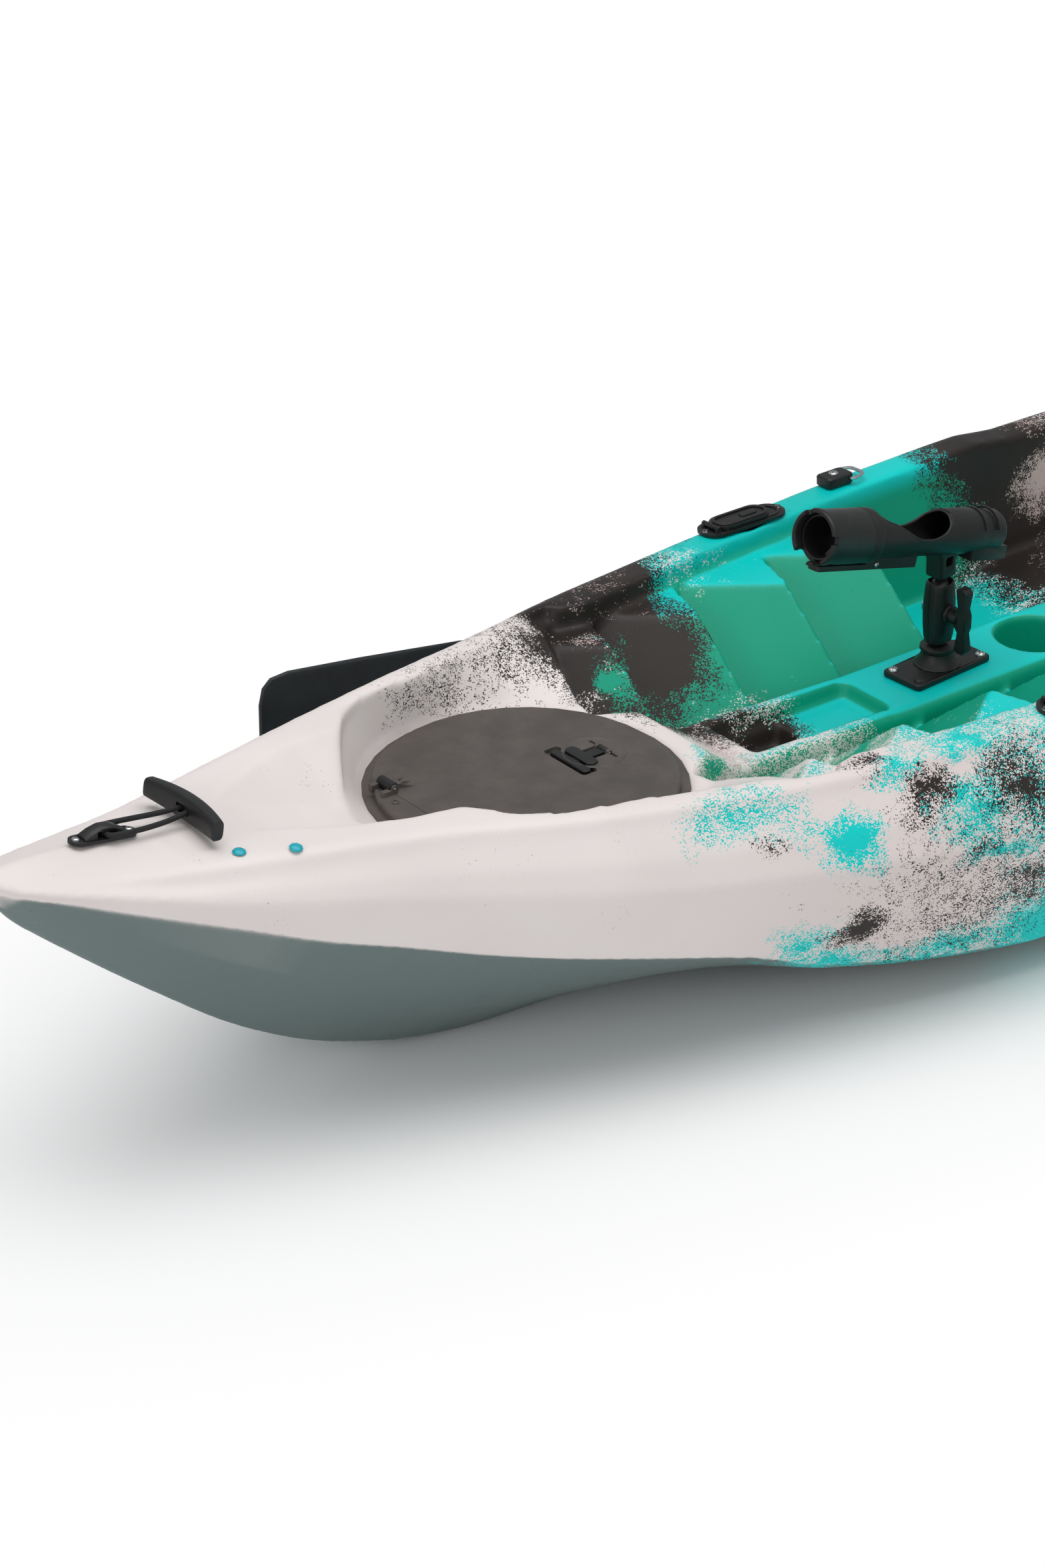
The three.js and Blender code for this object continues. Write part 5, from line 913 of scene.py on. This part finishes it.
def hatch():
    """Lid with its sunk latch, and the hinge's ribs."""
    middle = stood((1030.05, 0, 276), (1, 0, 0), (0, 0, 1))
    refine("hatch_rim")
    refine("hatch_lid", 0.0012, 3)
    refine("hatch_latch", 0.0011, 3)
    for side in (1, -1):
        for lean, reach in ((-0.34, 22), (0, 25), (0.34, 22)):
            rows = [(134, lean * 6, 7, 1.7), (134 - reach * 0.5, lean * 22, 4, 1.7),
                    (134 - reach, lean * 36, 0.4, 1)]
            rings = [[(x, side * 73 + y + across, z) for across, z in (
                (-half, -1), (half, -1), (half / 2, rise), (-half / 2, rise))] for x, y, rise, half in rows]
            rib = loft("hinge_rib", rings, middle)
            dress(soften(rib, 0.0005), "hatch_plastic", "lid", ["hatch_lid"])
        knuckle = turned("hinge_eye", [(0, -13), (5.2, -13), (6.4, -12), (6.4, 12), (5.2, 13), (0, 13)],
                         middle @ moved(142, side * 73, 6.5) @ LEVEL_Y, 32)
        dress(knuckle, "fitting_plastic", "lid", ["hatch_lid"])
    for y in (42, -42):
        screw_head("rim_screw", 4.4, 1.8, middle @ moved(154, y, 0.3), "hatch_plastic", nodes=["hatch_rim"])
    pit = turned("latch_pit_lip", [(33, -0.2), (35.5, 0.9), (37, 0.9), (38.2, -0.2)],
                 middle @ moved(-98, 0, 0), 64, True)
    dress(pit, "hatch_plastic", "lid", ["hatch_lid"])
    bead = slab("latch_bead", oblong(16, 50, 7.8), 1.2, 4.6, middle @ moved(-80, 0, -2))
    fitting(bead, 0.0014, 3, "latch", "hatch_latch")


def saddle_tube(base, tube):
    """The holder's tube with its open saddle and lip, on the neck that ends in the upper ball."""
    skin = [(0, -93), (20, -93), (24, -91), (25.6, -88), (25.8, -62), (27, -52), (28, -44), (28, 134),
            (27.4, 137), (27.4, 218), (26.6, 220), (24.5, 220), (24.5, -86), (0, -86)]
    whole = turned("rod_tube_finished", skin, tube @ LEVEL_X, 96)
    neck = loft("neck", [[(x * wide, y * deep, z) for x, y in oblong(2, 2, 0.35, 4)] for z, wide, deep in (
        (126, 14, 12.6), (128, 15, 13.2), (146, 15, 13.2), (160, 19, 14.5), (176, 26, 17))], base)
    window = base @ moved(0, 0, 147) @ LEVEL_Y
    cut(neck, turned("bore", [(0, -80), (25.6, -80), (25.6, 130), (0, 130)], tube @ LEVEL_X, 64),
        slab("neck_window", oblong(12, 12, 1.5), -40, 40, window))
    globe = [(13 * sin(pi * i / 24), -13 * cos(pi * i / 24)) for i in range(21)]
    ball = turned("upper_ball", globe + [(7.5, 13), (7.5, 20), (0, 20)], base @ moved(0, 0, UPPER_BALL), 48)
    line = [(6 + 124 * i / 60, along(SADDLE_EDGE, 6 + 124 * i / 60)) for i in range(61)]
    room = [(5, 60), (4.9, 26), *line, (131, 26), (131, 60)]
    cut(whole, slab("saddle_room", room, -40, 40, tube @ LEVEL_Y))
    join(whole, neck, ball)
    dress(soften(whole, 0.0011, 3, 32), "fitting_plastic", "rod_holder", ["rod_tube"])
    near = [(x, sqrt(max(26.6 ** 2 - z * z, 0)), z) for x, z in line]
    lip = near[::3] + [(x, -y, z) for x, y, z in reversed(near)][::3]
    dress(wire("saddle_lip", lip, 1.7, tube, True), "fitting_plastic", "rod_holder", ["rod_tube"])


def rod_holder():
    """Plate and ball, clamp and knob, the saddle tube and its notched collar."""
    base = stood((400.05, 0, 219.347), (0.99692, 0.07846, 0), (0, 0, 1))
    tube = stood((400.05, 0, 401.347), (0.95972, 0.07553, 0.2706), (-0.26977, -0.02123, 0.96269))
    refine("rod_base_plate", 0.0016, 3)
    for name, x, y in (("base_screw_fore", 54, -21), ("base_screw_aft", -54, 21)):
        screw_head(name + "_finished", 6.4, 3.4, base @ moved(x, y, 8.2), nodes=[name])
    skirt = turned("plate_ring", [(29, 8), (29, 9.6), (27.5, 10.6), (25, 10.6), (24, 8)], base, 64, True)
    fitting(skirt, 0.0006, 2, "hull", "rod_base_plate")
    for side, name in ((1, "clamp_half_port"), (-1, "clamp_half_starboard")):
        rings = []
        for height, wide, deep in (
                (-41, 14, 11), (-39, 16.5, 13.5), (-30, 17.6, 15.4), (-16, 18.6, 16.6), (0, 19, 17),
                (16, 18.6, 16.6), (30, 17.6, 15.4), (37, 17, 14.6), (39.5, 16, 13.4), (41, 14, 11)):
            rings.append([
                (wide * bulged(cos(turn), 0.75), side * (0.35 + deep * sin(turn) ** 0.75),
                 CLAMP_MIDDLE + height) for turn in (pi * i / 32 for i in range(33))])
        half = loft(name + "_finished", rings, base)
        hollow = [turned("ball_room", [(0, -16), (9, -13), (13.3, 0), (13.3, 3), (15.5, 14), (0, 14)],
                         base @ moved(0, 0, UPPER_BALL), 32),
                  turned("ball_room", [(0, -14), (15.5, -14), (13.3, -3), (13.3, 0), (9, 13), (0, 16)],
                         base @ moved(0, 0, LOWER_BALL), 32),
                  turned("bolt_room", [(0, -40), (4.6, -40), (4.6, 40), (0, 40)],
                         base @ moved(0, 0, CLAMP_MIDDLE) @ LEVEL_Y, 24)]
        cut(half, *hollow)
        fitting(half, 0.0012, 3, "rod_clamp", name)
    boss = turned("clamp_boss", [(7, 0), (12.5, 0), (12.5, 2.2), (11, 3.6), (7, 3.6)],
                  base @ moved(0, 16.6, CLAMP_MIDDLE) @ OUTWARD_Y, 48, True)
    fitting(boss, 0.0005, 2, "rod_clamp", "clamp_half_port")
    refine("clamp_bolt", 0.0005)
    refine("clamp_knob", 0.0022, 3)
    saddle_tube(base, tube)
    for x in (-74, -50):
        here = tube @ moved(x, 0, 0)
        band = turned("tube_band", [(26.8, 0), (29.4, 0), (29.4, 3), (26.8, 3)], here @ LEVEL_X, 64, True)
        cut(band, slab("below", oblong(40, 80, 2), -60, 8, here))
        fitting(band, 0.0008, 2, "rod_holder", "rod_tube")
    foot = [(-108, -16), (-66, -20), (-40, -20), (-40, 20), (-66, 20), (-108, 16)]
    lug = slab("rear_lug", foot, -32, -16, tube)
    join(lug, slab("lug_slope", [(-90, -14), (-30, -14), (-30, 14), (-90, 14)], -16, -12, tube))
    ends = [tube @ Vector((-84, y, -14)) for y in (-40, 40)]
    cut(lug, rod("lug_hole", 0.0026, *ends, 24))
    fitting(lug, 0.002, 3, "rod_holder", "rod_tube")
    rail = slab("lower_rail", oblong(172, 18, 4), -40, -33.6, tube @ moved(134, 0, 0))
    join(rail, slab("rail_web", oblong(92, 18, 4), -40, -24, tube @ moved(90, 0, 0)))
    fitting(rail, 0.0012, 3, "rod_holder", "rod_tube")
    screw_head("rail_screw", 3.2, 1.8, tube @ moved(118, 9.2, -34) @ OUTWARD_Y, body="rod_holder")
    collar = turned("rod_collar_finished", [
        (28.5, 138), (31.6, 138), (33, 139.4), (33, 150), (32.2, 152), (32.2, 158), (33, 160), (33, 222),
        (34.4, 224), (34.4, 229), (33, 231), (29.6, 231), (28.5, 229)], tube @ LEVEL_X, 96, True)
    cuts = []
    for turn, wide, deep in ((0.5, 12, 8), (2.7, 24, 15), (3.6, 12, 26), (4.9, 10, 8)):
        cuts.append(slab("notch", oblong(deep * 2, wide, 2.5), 20, 44,
                         tube @ moved(231, 0, 0) @ Matrix.Rotation(turn, 4, "X")))
    cut(collar, *cuts)
    fitting(collar, 0.0008, 2, "collar", "rod_collar")
    flap = slab("collar_flap", [(170, -3), (226, -16), (229, 0), (218, 12), (170, 14)], 24.2, 27.6,
                tube @ Matrix.Rotation(-2.1, 4, "X"))
    fitting(flap, 0.0012, 3, "collar", "rod_collar")


def flush_holders():
    """Flanges with pointed ends, bright screws and oval caps."""
    for name, (x, y, z) in FLUSH_PLACES.items():
        side = 1 if y > 0 else -1
        lean = 0.052 if x > 0 else 0.0769
        place = stood((x * 1000, y * 1000, z * 1000), (1, 0, 0), (0, side * lean, 1))
        refine("flush_tube_" + name, 0.0011, 3)
        ends = slab("flange_rim", oblong(112, 36, 17.9, 12), 3, 5.6, place)
        cut(ends, slab("inside", oblong(104, 30, 14.9, 12), 0, 9, place))
        cut(ends, slab("hinge_room", oblong(20, 40, 2), 0, 9, place @ moved(48, 0, 0)))
        fitting(ends, 0.0008, 2, "hull", "flush_tube_" + name)
        for end in (-58, 58):
            screw_head("flange_screw", 4.6, 2, place @ moved(end, 0, 4.2))
        refine("flush_cap_" + name, 0.0014, 3)
        middle = place @ moved(3, 0, 0)
        lip = slab("cap_lip", oblong(80, 33, 16.4, 12), 8.6, 11.4, middle)
        cut(lip, slab("cap_dish", oblong(71, 25, 12.4, 12), 8, 13, middle))
        fitting(lip, 0.0012, 3, "cap_" + name, "flush_cap_" + name)
        tongue = slab("cap_tongue", oblong(26, 11, 5.4), 8.6, 11, place @ moved(-10, 0, 0))
        fitting(tongue, 0.001, 3, "cap_" + name, "flush_cap_" + name)


def eyelets():
    """Blocks with their screws and steel rings."""
    for side, name in ((1, "port"), (-1, "starboard")):
        place = stood((288.05, side * 319.27, 317.75), (1, 0, 0), (0, side * 0.0635, 0.998))
        refine("eyelet_" + name, 0.0024, 4)
        screw_head("eyelet_screw", 6.2, 2.6, place @ moved(2, 0, 14.4))
        refine("d_ring_" + name, 0)


carry_handle("bow", (1601.95, 0, 388.9), (-0.9897, 0, -0.1431), (-0.1431, 0, 0.9897))
carry_handle("stern", (-1601.9, 0, 354.8), (0.996, 0, -0.0892), (0.0892, 0.0069, 0.996))
hatch()
rod_holder()
flush_holders()
eyelets()
for node in sorted(frame["nodes"]):
    if not frame["nodes"][node].hide_render:
        refine(node)


# Floor and backdrop

def pale_floor():
    """Keeps the kayak's shadow and fades to plain white away from it, as the camera sees it."""
    body = bmesh.new()
    ops.create_grid(body, x_segments=1, y_segments=1, size=30)
    floor = piece_from(body, "floor")
    finish = Finish("pale_floor", Roughness=0.9)
    finish.feed("Base Color", finish.mix(finish.grain(0.8, 2), (0.9, 0.9, 0.9, 1), (0.93, 0.93, 0.93, 1)))
    near = finish.vector("LENGTH", finish.vector("MULTIPLY", finish.place, (0.42, 1.25, 0)), result=1)
    seen = finish.node("LightPath", result="Is Camera Ray")
    white = finish.node("Emission", None, {"Strength": 1})
    plain = Level(finish, finish.shader.outputs[0])
    blend = finish.node("MixShader", None, [near.between(0.5, 1) * seen, plain, white])
    finish.tree.links.new(blend.link, finish.tree.nodes["Material Output"].inputs["Surface"])
    floor.data.materials.append(finish.material)


def pale_world():
    """White to the camera, and a softer light on the kayak."""
    world = bpy.data.worlds.new("studio")
    scene.world = world
    world.use_nodes = True
    nodes, links = world.node_tree.nodes, world.node_tree.links
    seen, light = nodes["Background"], nodes.new("ShaderNodeBackground")
    for node, strength, colour in ((seen, 1, (1, 1, 1, 1)), (light, 0.42, (0.96, 0.98, 1, 1))):
        node.inputs["Strength"].default_value = strength
        node.inputs["Color"].default_value = colour
    path, blend = nodes.new("ShaderNodeLightPath"), nodes.new("ShaderNodeMixShader")
    links.new(path.outputs["Is Camera Ray"], blend.inputs[0])
    links.new(light.outputs[0], blend.inputs[1])
    links.new(seen.outputs[0], blend.inputs[2])
    links.new(blend.outputs[0], nodes["World Output"].inputs["Surface"])


pale_floor()
pale_world()
